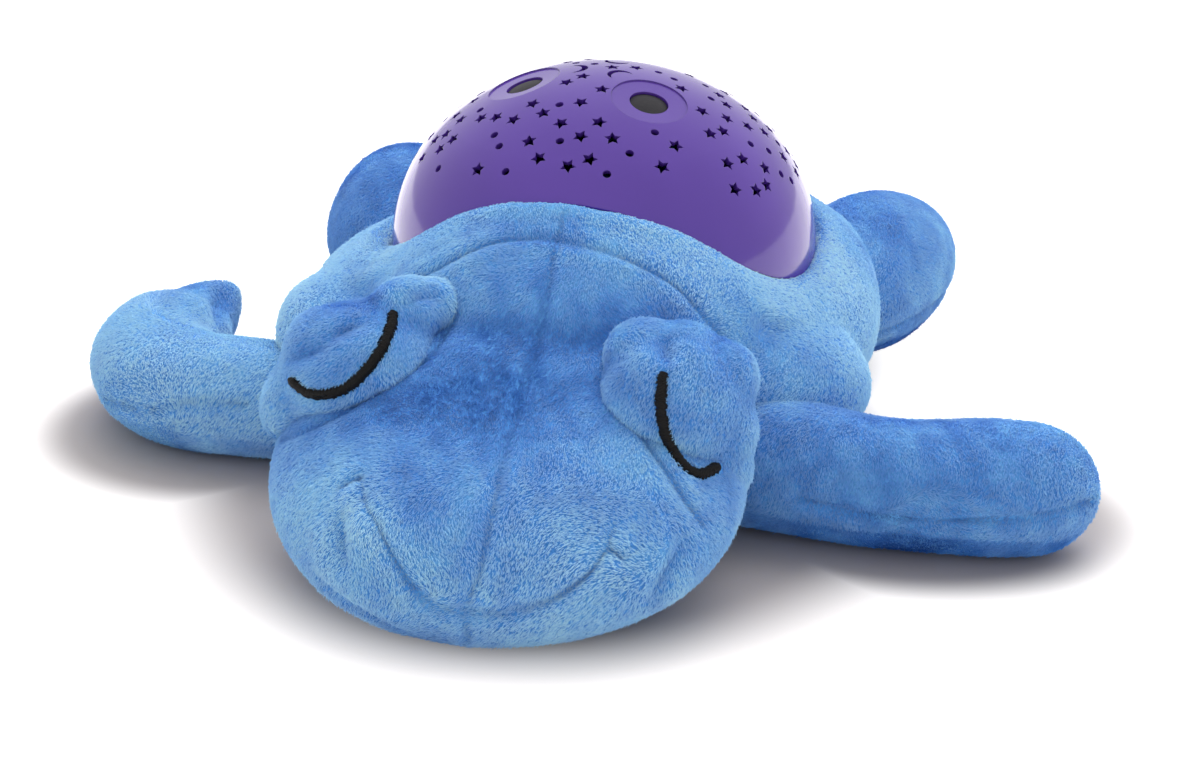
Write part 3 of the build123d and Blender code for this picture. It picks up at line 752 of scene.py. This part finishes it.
# Where the pile is short: in seams, and beside the shell
SEAM_WIDTH, SEAM_SHORTER = 0.0010, 0.5
SHELL_SHORT_WIDTH, SHELL_SHORTER = 0.003, 0.6

# Where there is none: under the satin stitch, inside the part, and in the belly's window
STITCH_BARE_WIDTH, STITCH_BARE = 0.0014, 0.4
SHELL_CLEARANCE = 0.0002
WINDOW_MARGIN, WINDOW_LEVEL = 0.007, 0.003

# Which way it lies: mostly down and forwards
NAP = (0.0, -0.5, -0.6)
NAP_WANDER, NAP_SPAN, NAP_SEED = 0.55, 0.045, 70

# How much paler or darker the pile is: brushed nap in slow ripples as amount, span and seed
BRUSH_RIPPLES = ((0.16, 0.030, 91), (0.12, 0.011, 92))
# Painted highlight on ridges and painted shade in folds, from how sharply the plush bends
RIDGE_BEND, RIDGE_PAINTED_LIGHT, RIDGE_START, RIDGE_LIMITS = 70.0, 0.6, 0.35, (-0.8, 1)
# A paler band of pile beside the shell above a level, less pale at the nape
SHELL_PALENESS, SHELL_PALE_WIDTH, SHELL_PALE_LEVEL = 0.9, 0.014, 0.03
NAPE_PALE_CUT, NAPE_PALE_AT, NAPE_PALE_WIDTH = 0.9, -0.014, 0.018
# Painted shade under the arms: darker below the arm seams' level, out from the middle
ARM_UNDER_SHADE, ARM_SEAM_LEVEL, ARM_SEAM_FADE = 0.55, 0.0125, 0.0015
ARM_START, ARM_START_FADE = 0.055, 0.025
# Patches of painted sheen and shade that the photograph shows: a middle, a radius and an amount
PAINTED_LIGHT_PATCHES = (
    ((-0.130, -0.062, 0.034), 0.045, 1.5),
    ((-0.088, -0.035, 0.050), 0.035, 0.9),
    ((0.084, -0.020, 0.055), 0.045, 1.4),
    ((-0.045, -0.160, 0.036), 0.026, 0.8),
    ((0.020, -0.168, 0.034), 0.034, 0.9),
    ((0.025, -0.060, 0.090), 0.014, 0.7),
    ((0.044, -0.064, 0.080), 0.016, 0.8),
    ((0.030, -0.090, 0.076), 0.016, -0.35),
    ((-0.036, -0.082, 0.078), 0.018, 0.45),
    ((-0.020, -0.128, 0.062), 0.030, -0.65),
    ((0.110, -0.105, 0.012), 0.030, -0.50),
    ((-0.100, 0.080, 0.035), 0.035, -0.30),
)

# Paths found while the plush is made, which the pile then keeps to
seams = []
stitch_paths = []


def nap_and_painted_light(points):
    """How much paler or darker the pile is at some points: brushed nap, patches of painted sheen and shade, a
    paler band beside the shell, and painted shade under the arms.
    """
    x, y, z = points.T
    total = sum(amount * ripple(points, span, seed) for amount, span, seed in BRUSH_RIPPLES)
    for at, radius, amount in PAINTED_LIGHT_PATCHES:
        total += amount * np.exp(-(((points - at) ** 2).sum(1)) / radius**2)
    # A paler band beside the shell, less pale at the nape
    beside_shell = bell(shell_gap(points), 0, SHELL_PALE_WIDTH)
    nape = bell(x, NAPE_PALE_AT, NAPE_PALE_WIDTH) * (y < 0)
    total += SHELL_PALENESS * beside_shell * (1 - NAPE_PALE_CUT * nape) * (z > SHELL_PALE_LEVEL)
    # Painted shade under the arms
    underside = rise(ARM_SEAM_LEVEL - z, 0, ARM_SEAM_FADE) * rise(abs(x), ARM_START, ARM_START_FADE)
    return total - ARM_UNDER_SHADE * underside


def hidden_inside(points):
    """Which points lie in the hollow that holds the light module, or in the belly's window."""
    x, y, z = points.T
    low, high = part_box("battery_door")
    window = ((abs(x) < high[0] + WINDOW_MARGIN) & (y > low[1] - WINDOW_MARGIN)
              & (y < high[1] + WINDOW_MARGIN) & (z > WINDOW_LEVEL))
    return ((shell_gap(points) < SHELL_CLEARANCE) & (z > MODULE_FLOOR)) | window


def nap_direction(points, outward):
    """Which way the pile lies: down and forwards, wandering in patches."""
    flow = np.tile(NAP, (len(points), 1))
    for axis in range(3):
        flow[:, axis] += NAP_WANDER * ripple(points, NAP_SPAN, NAP_SEED + axis)
    flow -= outward * (flow * outward).sum(1)[:, None]
    return flow / (np.linalg.norm(flow, axis=1)[:, None] + 1e-9)


def scattered(mesh, draw):
    """Random places on a mesh where pile grows: the three vertices round each, and their weights."""
    triangles = triangle_corners(mesh)
    points = coords(mesh)
    a, b, c = (points[triangles[:, k]] for k in range(3))
    middle = (a + b + c) / 3
    areas = np.linalg.norm(np.cross(b - a, c - a), axis=1) / 2
    areas[hidden_inside(middle)] = 0
    areas[middle[:, 2] < PILE_START_LEVEL] = 0
    count = int(PILE_DENSITY * areas.sum())
    chosen = triangles[draw.choice(len(areas), count, p=areas / areas.sum())]
    share = draw.random((count, 2))
    beyond = share.sum(1) > 1
    share[beyond] = 1 - share[beyond]
    return chosen, np.c_[1 - share.sum(1), share][:, :, None]


def add_pile(piece, body):
    """Short pile over a plush piece: many fine curved fibres that lie along the nap."""
    mesh = piece.data
    draw = np.random.default_rng(len(mesh.vertices))
    chosen, weights = scattered(mesh, draw)
    root = (coords(mesh)[chosen] * weights).sum(1)
    kept = nearness(root, stitch_paths, STITCH_BARE_WIDTH) <= STITCH_BARE
    chosen, weights, root = chosen[kept], weights[kept], root[kept]
    count = len(root)

    def at_roots(values):
        return (values[chosen] * weights).sum(1)

    normal = at_roots(normals(mesh))
    normal /= np.linalg.norm(normal, axis=1)[:, None]
    seam = nearness(root, seams, SEAM_WIDTH)
    lie = nap_direction(root, normal) + PILE_SCATTER * draw.normal(size=root.shape)
    by_shell = bell(shell_gap(root), 0, SHELL_SHORT_WIDTH)
    short = ((1 - SEAM_SHORTER * seam) * (1 - SHELL_SHORTER * by_shell))[:, None]
    reach = PILE_REACH * draw.uniform(*PILE_REACH_RANGE, (count, 1)) * short
    height = PILE_HEIGHT * draw.uniform(*PILE_HEIGHT_RANGE, (count, 1)) * short
    middle = root + normal * height * PILE_KNEE_HEIGHT + lie * reach * PILE_KNEE_REACH
    tip = root + normal * height + lie * reach
    for points in (middle, tip):
        points[:, 2] = np.maximum(points[:, 2], PILE_FLOOR)
    # Painted highlight on ridges and painted shade in folds
    ridge = np.clip(at_roots(bulge(mesh)[:, None])[:, 0] / RIDGE_BEND - RIDGE_START, *RIDGE_LIMITS)

    name = f"pile_{piece.name}"
    fibres = bpy.data.hair_curves.new(name)
    fibres.add_curves([3] * count)
    places = np.stack([root - normal * PILE_ROOT, middle, tip], 1).astype(np.float32)
    fibres.attributes["position"].data.foreach_set("vector", places.ravel())
    # Painted shade in seams, and brushed nap with painted sheen and shade, for the pile's colour
    values = {
        "radius": np.tile(np.array(PILE_TAPER, np.float32) * PILE_WIDTH, count),
        "seam": np.repeat(seam, 3),
        "brush_and_painted_light": np.repeat(nap_and_painted_light(root) + RIDGE_PAINTED_LIGHT * ridge, 3),
    }
    for key, value in values.items():
        fibres.attributes.new(key, "FLOAT", "POINT").data.foreach_set("value", value.astype(np.float32))
    fibres.materials.append(MATERIALS["pile"])
    holder = bpy.data.objects.new(name, fibres)
    scene.collection.objects.link(holder)
    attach(holder, body)


# ---------------------------------------------------------------- what the photograph shows of the plush

# Seams and folds are rows of the photograph's pixels, and lie where the camera sees the plush there.
# Each has a width, a depth, and the share of its length over which each end fades out.
BODY_SEAMS = {
    "head": ([(565, 209), (553, 260), (540, 330), (525, 385), (510, 430), (497, 490), (482, 560), (478, 578),
              (468, 605), (468, 640)], 0.0013, 0.0009, 0.0),
    "neck": ([(400, 300), (415, 280), (438, 269), (479, 249), (512, 240), (540, 237), (562, 240), (592, 246),
              (621, 256), (650, 271), (678, 289), (697, 310), (720, 336), (745, 390)], 0.0016, 0.0012, 0.0),
    "under_left_eye": ([(272, 440), (300, 431), (346, 411), (387, 382), (431, 355), (460, 311)],
                       0.0016, 0.0012, 0.15),
    "under_right_eye": ([(632, 420), (645, 442), (666, 474), (684, 503), (700, 524)], 0.0016, 0.0014, 0.3),
    "smile": ([(363, 479), (368, 505), (381, 531), (398, 563), (416, 590), (439, 608), (466, 611), (498, 614),
               (530, 607), (556, 597), (587, 576), (604, 556), (612, 535), (616, 520)], 0.0014, 0.0013, 0.1),
    "smile_tuck_left": ([(343, 490), (355, 482), (368, 479)], 0.0015, 0.0018, 0.3),
    "smile_tuck_right": ([(609, 548), (618, 556), (627, 562)], 0.0015, 0.0018, 0.3),
}
BODY_FOLDS = {
    "cheek_left": ([(343, 508), (344, 540), (349, 575)], 0.0028, 0.0026, 0.4),
    "cheek_right": ([(687, 532), (665, 571), (643, 607)], 0.0028, 0.0026, 0.4),
    "chin": ([(313, 570), (335, 590), (363, 608), (390, 624), (416, 634)], 0.0018, 0.0014, 0.2),
}
EYE_FOLDS = {
    "left": (([(318, 343), (345, 330), (372, 322)], 0.0024, 0.0022, 0.4),
             ([(400, 312), (418, 297), (445, 296)], 0.0024, 0.0022, 0.4),
             ([(290, 360), (318, 350), (335, 345)], 0.0024, 0.0022, 0.4)),
    "right": (([(664, 335), (668, 352), (672, 365)], 0.0030, 0.0026, 0.4),),
}
ARM_SEAMS = {
    "left": ([(96, 398), (126, 408), (153, 411), (196, 403), (246, 404)], 0.0015, 0.0016, 0.0),
    "right": ([(800, 497), (830, 506), (860, 512), (910, 518), (960, 520), (1040, 515), (1090, 500)],
              0.0015, 0.0016, 0.0),
}
HAND_FOLD = ([(228, 286), (219, 300), (213, 318), (215, 332)], 0.0025, 0.0025, 0.3)

# Seams that go round a piece, as an axis, a level on it, a width, a depth and where they start along Y
RUMP_SEAM = (0, 0.0, 0.0014, 0.0012, 0.070)
FLANK_SEAM = (2, 0.020, 0.0014, 0.0012, -0.060)
LEG_SEAM = (2, 0.020, 0.0015, 0.0013, -1.0)
GIRDLE_FADE, GIRDLE_SLICE, GIRDLE_STRIDE = 0.01, 0.0008, 3

# Rings of fabric between the shell's rim and the torso: how far out, how far down, and how thick
HEMS = ((0.0012, 0.0031, 0.0036), (0.0045, 0.0080, 0.0055), (0.0085, 0.0135, 0.0065))

# The body's skin, and where its CAD solids' creases are relaxed, as rounds and a soft region
BODY_VOXEL, BODY_ROUNDS = 0.0016, 10
HEAD_THICKENING = (0, 0.0012, 0)
NAPE_ROUNDS, NAPE_Y, NAPE_LEVEL = 220, (-0.097, 0.028), (0.03, 0.02)
RUMP_ROUNDS, RUMP_GAP, RUMP_START, RUMP_LEVEL = 60, (0.014, 0.009), (0, 0.03), 0.045
SHOULDER_ROUNDS, SHOULDER_AT, SHOULDER_SIZE = 120, (0.080, -0.036, 0.038), (0.026, 0.026, 0.020)

# Swells of the body's filling: a middle, radii, and the move there
BODY_SWELLS = (
    ((0.0, -0.101, 0.066), (0.055, 0.015, 0.020), (0, -0.003, 0.0035)),
    ((-0.086, -0.036, 0.046), (0.020, 0.040, 0.024), (-0.011, 0, 0.003)),
    ((0.074, 0.045, 0.054), (0.030, 0.040, 0.025), (0.004, 0, 0.005)),
)

# Slow lumps of the filling, none where a piece rests
LUMP_SPAN, LUMP_HEIGHT, LUMP_SEED = 0.06, 0.0010, 30
LUMP_START, LUMP_FADE = 0.004, 0.012

# The eye pads: a scale and a move of the CAD solid, a smaller core behind it, lumps of filling as a pixel,
# a depth behind the pad's middle and a radius, and corners as a pixel and a depth
EYE_SHAPE = {"left": ((0.88, 1.0, 0.95), (0.0035, 0, 0)), "right": ((0.88, 1.0, 1.0), (-0.0035, 0, -0.001))}
EYE_CORE, EYE_CORE_BY = 0.92, (0, 0.004, -0.004)
EYE_LUMPS = {
    "left": [((436, 306), 0.006, 0.0090), ((404, 313), 0.002, 0.0115), ((305, 395), 0.002, 0.0105),
             ((330, 348), -0.002, 0.0130)],
    "right": [((644, 357), 0.004, 0.0120), ((680, 364), 0.003, 0.0125), ((714, 382), 0.004, 0.0120),
              ((713, 430), 0.002, 0.0120), ((706, 466), 0.003, 0.0125), ((694, 490), 0.005, 0.0090)],
}
EYE_CORNERS = {
    "left": [((457, 295), 0.006), ((273, 430), 0.001)],
    "right": [((753, 374), 0.004), ((609, 338), 0.008)],
}
EYE_CORNER_RADIUS = 0.009
EYE_VOXEL, EYE_ROUNDS, EYE_CORNER_ROUNDS = 0.0018, 26, 3

# The limbs: a scale and a move of each CAD solid, and the left hand's pulled corner
LIMB_VOXEL, LIMB_ROUNDS = 0.0022, 6
LIMBS = {
    "arm_left": ((1, 1, 0.88), (-0.0055, 0.007, 0)),
    "arm_right": ((1, 1, 0.9), (-0.0025, 0.005, 0)),
    "leg_left": ((1, 1, 1), (-0.002, 0, 0)),
    "leg_right": ((1, 1, 0.94), (-0.0025, -0.010, 0)),
}
HAND_CORNER, HAND_CORNER_BEHIND, HAND_CORNER_RADIUS, HAND_ROUNDS = (237, 286), 0.012, 0.012, 2
HAND_MIDDLE = (-0.150, -0.004, 0.020)

FLAP_VOXEL, FLAP_ROUNDS = 0.0012, 3

# ---------------------------------------------------------------- plush pieces


def folded(mesh, pixels, width, depth, ends):
    """A fold on a mesh, where the photograph shows it, and its path."""
    path = seen_path([mesh], pixels)
    crease(mesh, path, width, depth, ends)
    return path


def seamed(mesh, pixels, width, depth, ends):
    """A sewn seam on a mesh, where the photograph shows it: a fold with short pile, darkened as painted
    shade.
    """
    path = folded(mesh, pixels, width, depth, ends)
    if len(path) > 1:
        seams.append(path)


def girdled(mesh, axis, level, width, depth, behind):
    """A sewn seam round a mesh at a level on an axis, from some place along the body backwards."""
    points, outward = coords(mesh), normals(mesh)
    gap = points[:, axis] - level
    there = rise(points[:, 1], behind, GIRDLE_FADE)
    set_coords(mesh, points - outward * (there * depth * bell(gap, 0, width))[:, None])
    ring = points[(abs(gap) < GIRDLE_SLICE) & (there > 0.5)]
    around = np.delete(ring - ring.mean(0), axis, 1)
    seams.append(ring[np.argsort(np.arctan2(around[:, 1], around[:, 0]))][::GIRDLE_STRIDE])


def unevenness(mesh, seed):
    """Lumps of the filling: slow bumps along the normals, none where the piece rests."""
    points, outward = coords(mesh), normals(mesh)
    lift = rise(points[:, 2], LUMP_START, LUMP_FADE)
    lumps = LUMP_HEIGHT * lift * ripple(points, LUMP_SPAN, seed)
    set_coords(mesh, points + outward * lumps[:, None])


def above_floor(mesh):
    """Keeps a mesh from going under what the plush lies on."""
    points = coords(mesh)
    points[:, 2] = np.maximum(points[:, 2], 0.0)
    set_coords(mesh, points)


def stuff(name, nodes, mesh, body=ROOT):
    """Makes a stuffed piece from its finished mesh, in place of its CAD solids."""
    smooth_shade(mesh)
    mesh.materials.clear()
    mesh.materials.append(MATERIALS["plush"])
    piece = link(name, mesh, body)
    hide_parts(*nodes)
    add_pile(piece, body)


def soften_body(body):
    """Relaxes the nape, the rump beside the shell and the shoulders, where CAD solids meet in creases."""
    points = coords(body)
    x, y, z = points.T
    nape = bell(y, *NAPE_Y) * rise(z, *NAPE_LEVEL)
    relax(body, NAPE_ROUNDS, where=nape[:, None])
    rump = bell(shell_gap(points), *RUMP_GAP) * rise(y, *RUMP_START) * (z > RUMP_LEVEL)
    relax(body, RUMP_ROUNDS, where=rump[:, None])
    across, along, level = (((v - at) / size) ** 2
                            for v, at, size in zip((abs(x), y, z), SHOULDER_AT, SHOULDER_SIZE))
    relax(body, SHOULDER_ROUNDS, where=np.exp(-(across + along) - level)[:, None])


def body_mesh():
    """Head and torso as one skin, with the hem that closes on the shell, and its seams and folds."""
    hems = [new_mesh(*tube(rim_path(out, drop), thick, closed=True)) for out, drop, thick in HEMS]
    parts = [cad_mesh("head"), cad_mesh("head", by=HEAD_THICKENING), cad_mesh("torso"), *hems]
    body = soft_mesh(parts, BODY_VOXEL, BODY_ROUNDS)
    soften_body(body)
    for swell in BODY_SWELLS:
        press(body, *swell)
    for seam in BODY_SEAMS.values():
        seamed(body, *seam)
    for fold in BODY_FOLDS.values():
        folded(body, *fold)
    girdled(body, *RUMP_SEAM)
    girdled(body, *FLANK_SEAM)
    return body


def eye_pad_mesh(side):
    """An eye pad: its CAD form with lumps of filling towards its corners, and its folds."""
    node = f"eye_pad_{side}"
    low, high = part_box(node)
    middle = (Vector(low) + Vector(high)) / 2
    shape, by = EYE_SHAPE[side]
    core_by = Vector(by) + Vector(EYE_CORE_BY)
    parts = [cad_mesh(node, shape, middle, by), cad_mesh(node, scaled(shape, EYE_CORE), middle, core_by)]
    parts += [ball(at_depth(pixel, middle, behind), radius) for pixel, behind, radius in EYE_LUMPS[side]]
    mesh = soft_mesh(parts, EYE_VOXEL, EYE_ROUNDS)
    for pixel, behind in EYE_CORNERS[side]:
        pull(mesh, pixel, behind, middle, EYE_CORNER_RADIUS)
    relax(mesh, EYE_CORNER_ROUNDS)
    for fold in EYE_FOLDS[side]:
        folded(mesh, *fold)
    return mesh


def limb_meshes():
    """The arms and legs with their seams, and the left hand's corner and fold."""
    limbs = {node: soft_mesh([cad_mesh(node, scale, by=by)], LIMB_VOXEL, LIMB_ROUNDS)
             for node, (scale, by) in LIMBS.items()}
    hand = limbs["arm_left"]
    pull(hand, HAND_CORNER, HAND_CORNER_BEHIND, HAND_MIDDLE, HAND_CORNER_RADIUS)
    relax(hand, HAND_ROUNDS)
    for side in SIDES:
        seamed(limbs[f"arm_{side}"], *ARM_SEAMS[side])
        girdled(limbs[f"leg_{side}"], *LEG_SEAM)
    folded(hand, *HAND_FOLD)
    return limbs


def make_plush():
    """All the stuffed pieces that lie on the floor, and the eyes stitched on them."""
    body = body_mesh()
    pads = {side: eye_pad_mesh(side) for side in SIDES}
    pieces = {"body": body, **{f"eye_pad_{side}": pads[side] for side in SIDES}, **limb_meshes()}
    for number, mesh in enumerate(pieces.values()):
        unevenness(mesh, LUMP_SEED + number)
        above_floor(mesh)
    for side in SIDES:
        make_eye_stitch(side, pads[side], body)
    for name, mesh in pieces.items():
        nodes = ("head", "torso") if name == "body" else (name,)
        stuff(f"stuffed_{name}", nodes, mesh)


def make_flap():
    """The belly flap, a lined plush panel with a rounded edge."""
    mesh = soft_mesh([cad_mesh("belly_flap")], FLAP_VOXEL, FLAP_ROUNDS)
    above_floor(mesh)
    stuff("plush_belly_flap", ("belly_flap",), mesh, "belly_flap")


# ---------------------------------------------------------------- satin-stitched eyes

EYE_ARCS = {
    "left": [(394, 311), (390, 329), (381, 350), (366, 370), (349, 386), (328, 394), (307, 392), (290, 379)],
    "right": [(664, 372), (661, 394), (662, 416), (667, 438), (677, 457), (689, 470), (701, 474), (719, 466)],
}
EYE_ARC_STEPS = 12
STITCH_WIDTH, STITCH_WIDTH_RANGE = 0.0031, (0.78, 1.22)
STITCH_RISE, STITCH_JITTER, STITCH_SINK = 0.0013, 0.00005, 0.0001
STITCH_PITCH = 0.00040
STITCH_AHEAD = 0.001
STITCH_SLANT = 0.22
STITCH_TAPER, STITCH_END, STITCH_GROWTH = 0.002, 0.55, 0.45
STITCH_SEED = 7
THREAD_RADIUS, THREAD_SIDES, THREAD_POINTS = 0.00026, 6, 7


def make_eye_stitch(side, pad, body):
    """The arc of satin stitch: many thin threads laid side by side across it, shorter towards its ends."""
    draw = np.random.default_rng(STITCH_SEED)
    path = seen_path([pad, body], EYE_ARCS[side], EYE_ARC_STEPS)
    stitch_paths.append(path)
    ground = joined([pad, body])
    tree = BVHTree.FromBMesh(ground)
    ground.free()
    lengths = np.r_[0, np.cumsum(np.linalg.norm(np.diff(path, axis=0), axis=1))]

    def on_path(along):
        return np.array([np.interp(along, lengths, path[:, axis]) for axis in range(3)])

    points, faces = [], []
    for along in np.arange(STITCH_PITCH, lengths[-1], STITCH_PITCH):
        at = on_path(along)
        run = on_path(along + STITCH_AHEAD) - on_path(along - STITCH_AHEAD)
        run /= np.linalg.norm(run)
        normal = tree.find_nearest(Vector(at))[1]
        across = np.cross(np.array(normal), run)
        across = across / np.linalg.norm(across) + STITCH_SLANT * run
        end = min(1.0, STITCH_END + STITCH_GROWTH * min(along, lengths[-1] - along) / STITCH_TAPER)
        half = STITCH_WIDTH / 2 * end * draw.uniform(*STITCH_WIDTH_RANGE, 2)
        thread = []
        for share in np.linspace(-1, 1, THREAD_POINTS):
            place = at + across * share * half[0 if share < 0 else 1]
            place, out = tree.find_nearest(Vector(place))[:2]
            height = STITCH_RISE * end * math.sqrt(max(0.0, 1 - share**2))
            height += draw.uniform(-STITCH_JITTER, STITCH_JITTER)
            thread.append(np.array(place) + np.array(out) * (height - STITCH_SINK))
        ring, sides = tube(thread, THREAD_RADIUS, THREAD_SIDES)
        faces += [tuple(len(points) + v for v in face) for face in sides]
        points += list(ring)
    mesh = new_mesh(points, faces)
    smooth_shade(mesh)
    mesh.materials.append(MATERIALS["stitch"])
    piece = link(f"satin_eye_stitch_{side}", mesh)
    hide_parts(f"eye_stitch_{side}")


# ---------------------------------------------------------------- stage

FLOOR_HALF, FLOOR_DROP = 6.0, 0.0005
# The floor's colour for light that bounces off it, and a darker one that the camera sees in the shadow
FLOOR_WHITE = (0.80, 0.78, 0.78)
FLOOR_SHADE = (0.44, 0.405, 0.40)
# Ellipses on the floor that keep the object's shadow: a middle and half sizes
SHADED = (
    ((-0.005, -0.062), (0.122, 0.121)),
    ((-0.125, -0.045), (0.066, 0.060)),
    ((0.108, -0.060), (0.076, 0.056)),
    ((0.0, 0.032), (0.088, 0.085)),
)
# Where an ellipse's soft edge starts and ends, in shares of its half sizes
SHADE_ENDS = (0.78, 1.19)
# How much of the brightest direction is backwards and upwards
TENT_KEY = (0.64, 0.77)
TENT_KEY_TIGHTNESS = 9.0
TENT_KEY_STRENGTH = 4.5
TENT_SIDES = 0.5
TENT_FILL = 0.62
WHITE = (1, 1, 1, 1)


def floor_material():
    """A white sweep. It glows white away from the object, except for light that bounces. In the ellipses
    near the object it doesn't glow, and the camera sees a darker floor there than light bounces off."""
    m = new_nodes("floor_white")
    camera_ray = m.add("ShaderNodeLightPath").outputs["Is Camera Ray"]
    glow = 1.0
    for middle, reach in SHADED:
        inputs = {"Vector": m.place(), "Location": (*middle, 0), "Scale": (*reach, 1)}
        place = m.add("ShaderNodeMapping", inputs, vector_type="TEXTURE").outputs["Vector"]
        from_middle = m.add("ShaderNodeVectorMath", {"Vector": place}, operation="LENGTH").outputs["Value"]
        ends = {"Value": from_middle, "From Min": SHADE_ENDS[0], "From Max": SHADE_ENDS[1]}
        edge = m.add("ShaderNodeMapRange", ends, interpolation_type="SMOOTHSTEP").outputs["Result"]
        glow = m.math("MINIMUM", glow, edge)
    m.set(Base_Color=m.mix(camera_ray, FLOOR_WHITE, FLOOR_SHADE), Roughness=0.9, Specular_IOR_Level=0.0)
    m.set(Emission_Color=WHITE, Emission_Strength=m.math("MULTIPLY", m.seen(), glow))
    return m.owner


def add_floor():
    """The white floor under the part."""
    mesh = bpy.data.meshes.new("floor")
    corners = [(x * FLOOR_HALF, y * FLOOR_HALF, 0) for x, y in ((-1, -1), (1, -1), (1, 1), (-1, 1))]
    mesh.from_pydata(corners, [], [(0, 1, 2, 3)])
    floor = bpy.data.objects.new("floor", mesh)
    floor.location.z = -FLOOR_DROP
    scene.collection.objects.link(floor)
    mesh.materials.append(floor_material())


def add_light_tent():
    """A white light tent, brightest behind and above. It looks plain white where it is seen."""
    scene.world = bpy.data.worlds.new("world")
    m = Nodes(scene.world, "Background")
    direction = m.add("ShaderNodeTexCoord").outputs["Generated"]
    across, along, upwards = m.add("ShaderNodeSeparateXYZ", {0: direction}).outputs
    facing = m.total((along, TENT_KEY[0]), (upwards, TENT_KEY[1]))
    key = m.math("POWER", m.math("MAXIMUM", facing, 0.0), TENT_KEY_TIGHTNESS)
    tent = m.total((key, TENT_KEY_STRENGTH), (m.math("MULTIPLY", across, across), TENT_SIDES))
    tent = m.math("ADD", tent, TENT_FILL)
    seen = m.seen()
    strength = m.math("ADD", m.math("MULTIPLY", tent, m.math("SUBTRACT", 1.0, seen)), seen)
    m.set(Color=WHITE, Strength=strength)


add_camera()
dress_cad_nodes()
make_plush()
make_flap()
add_floor()
add_light_tent()
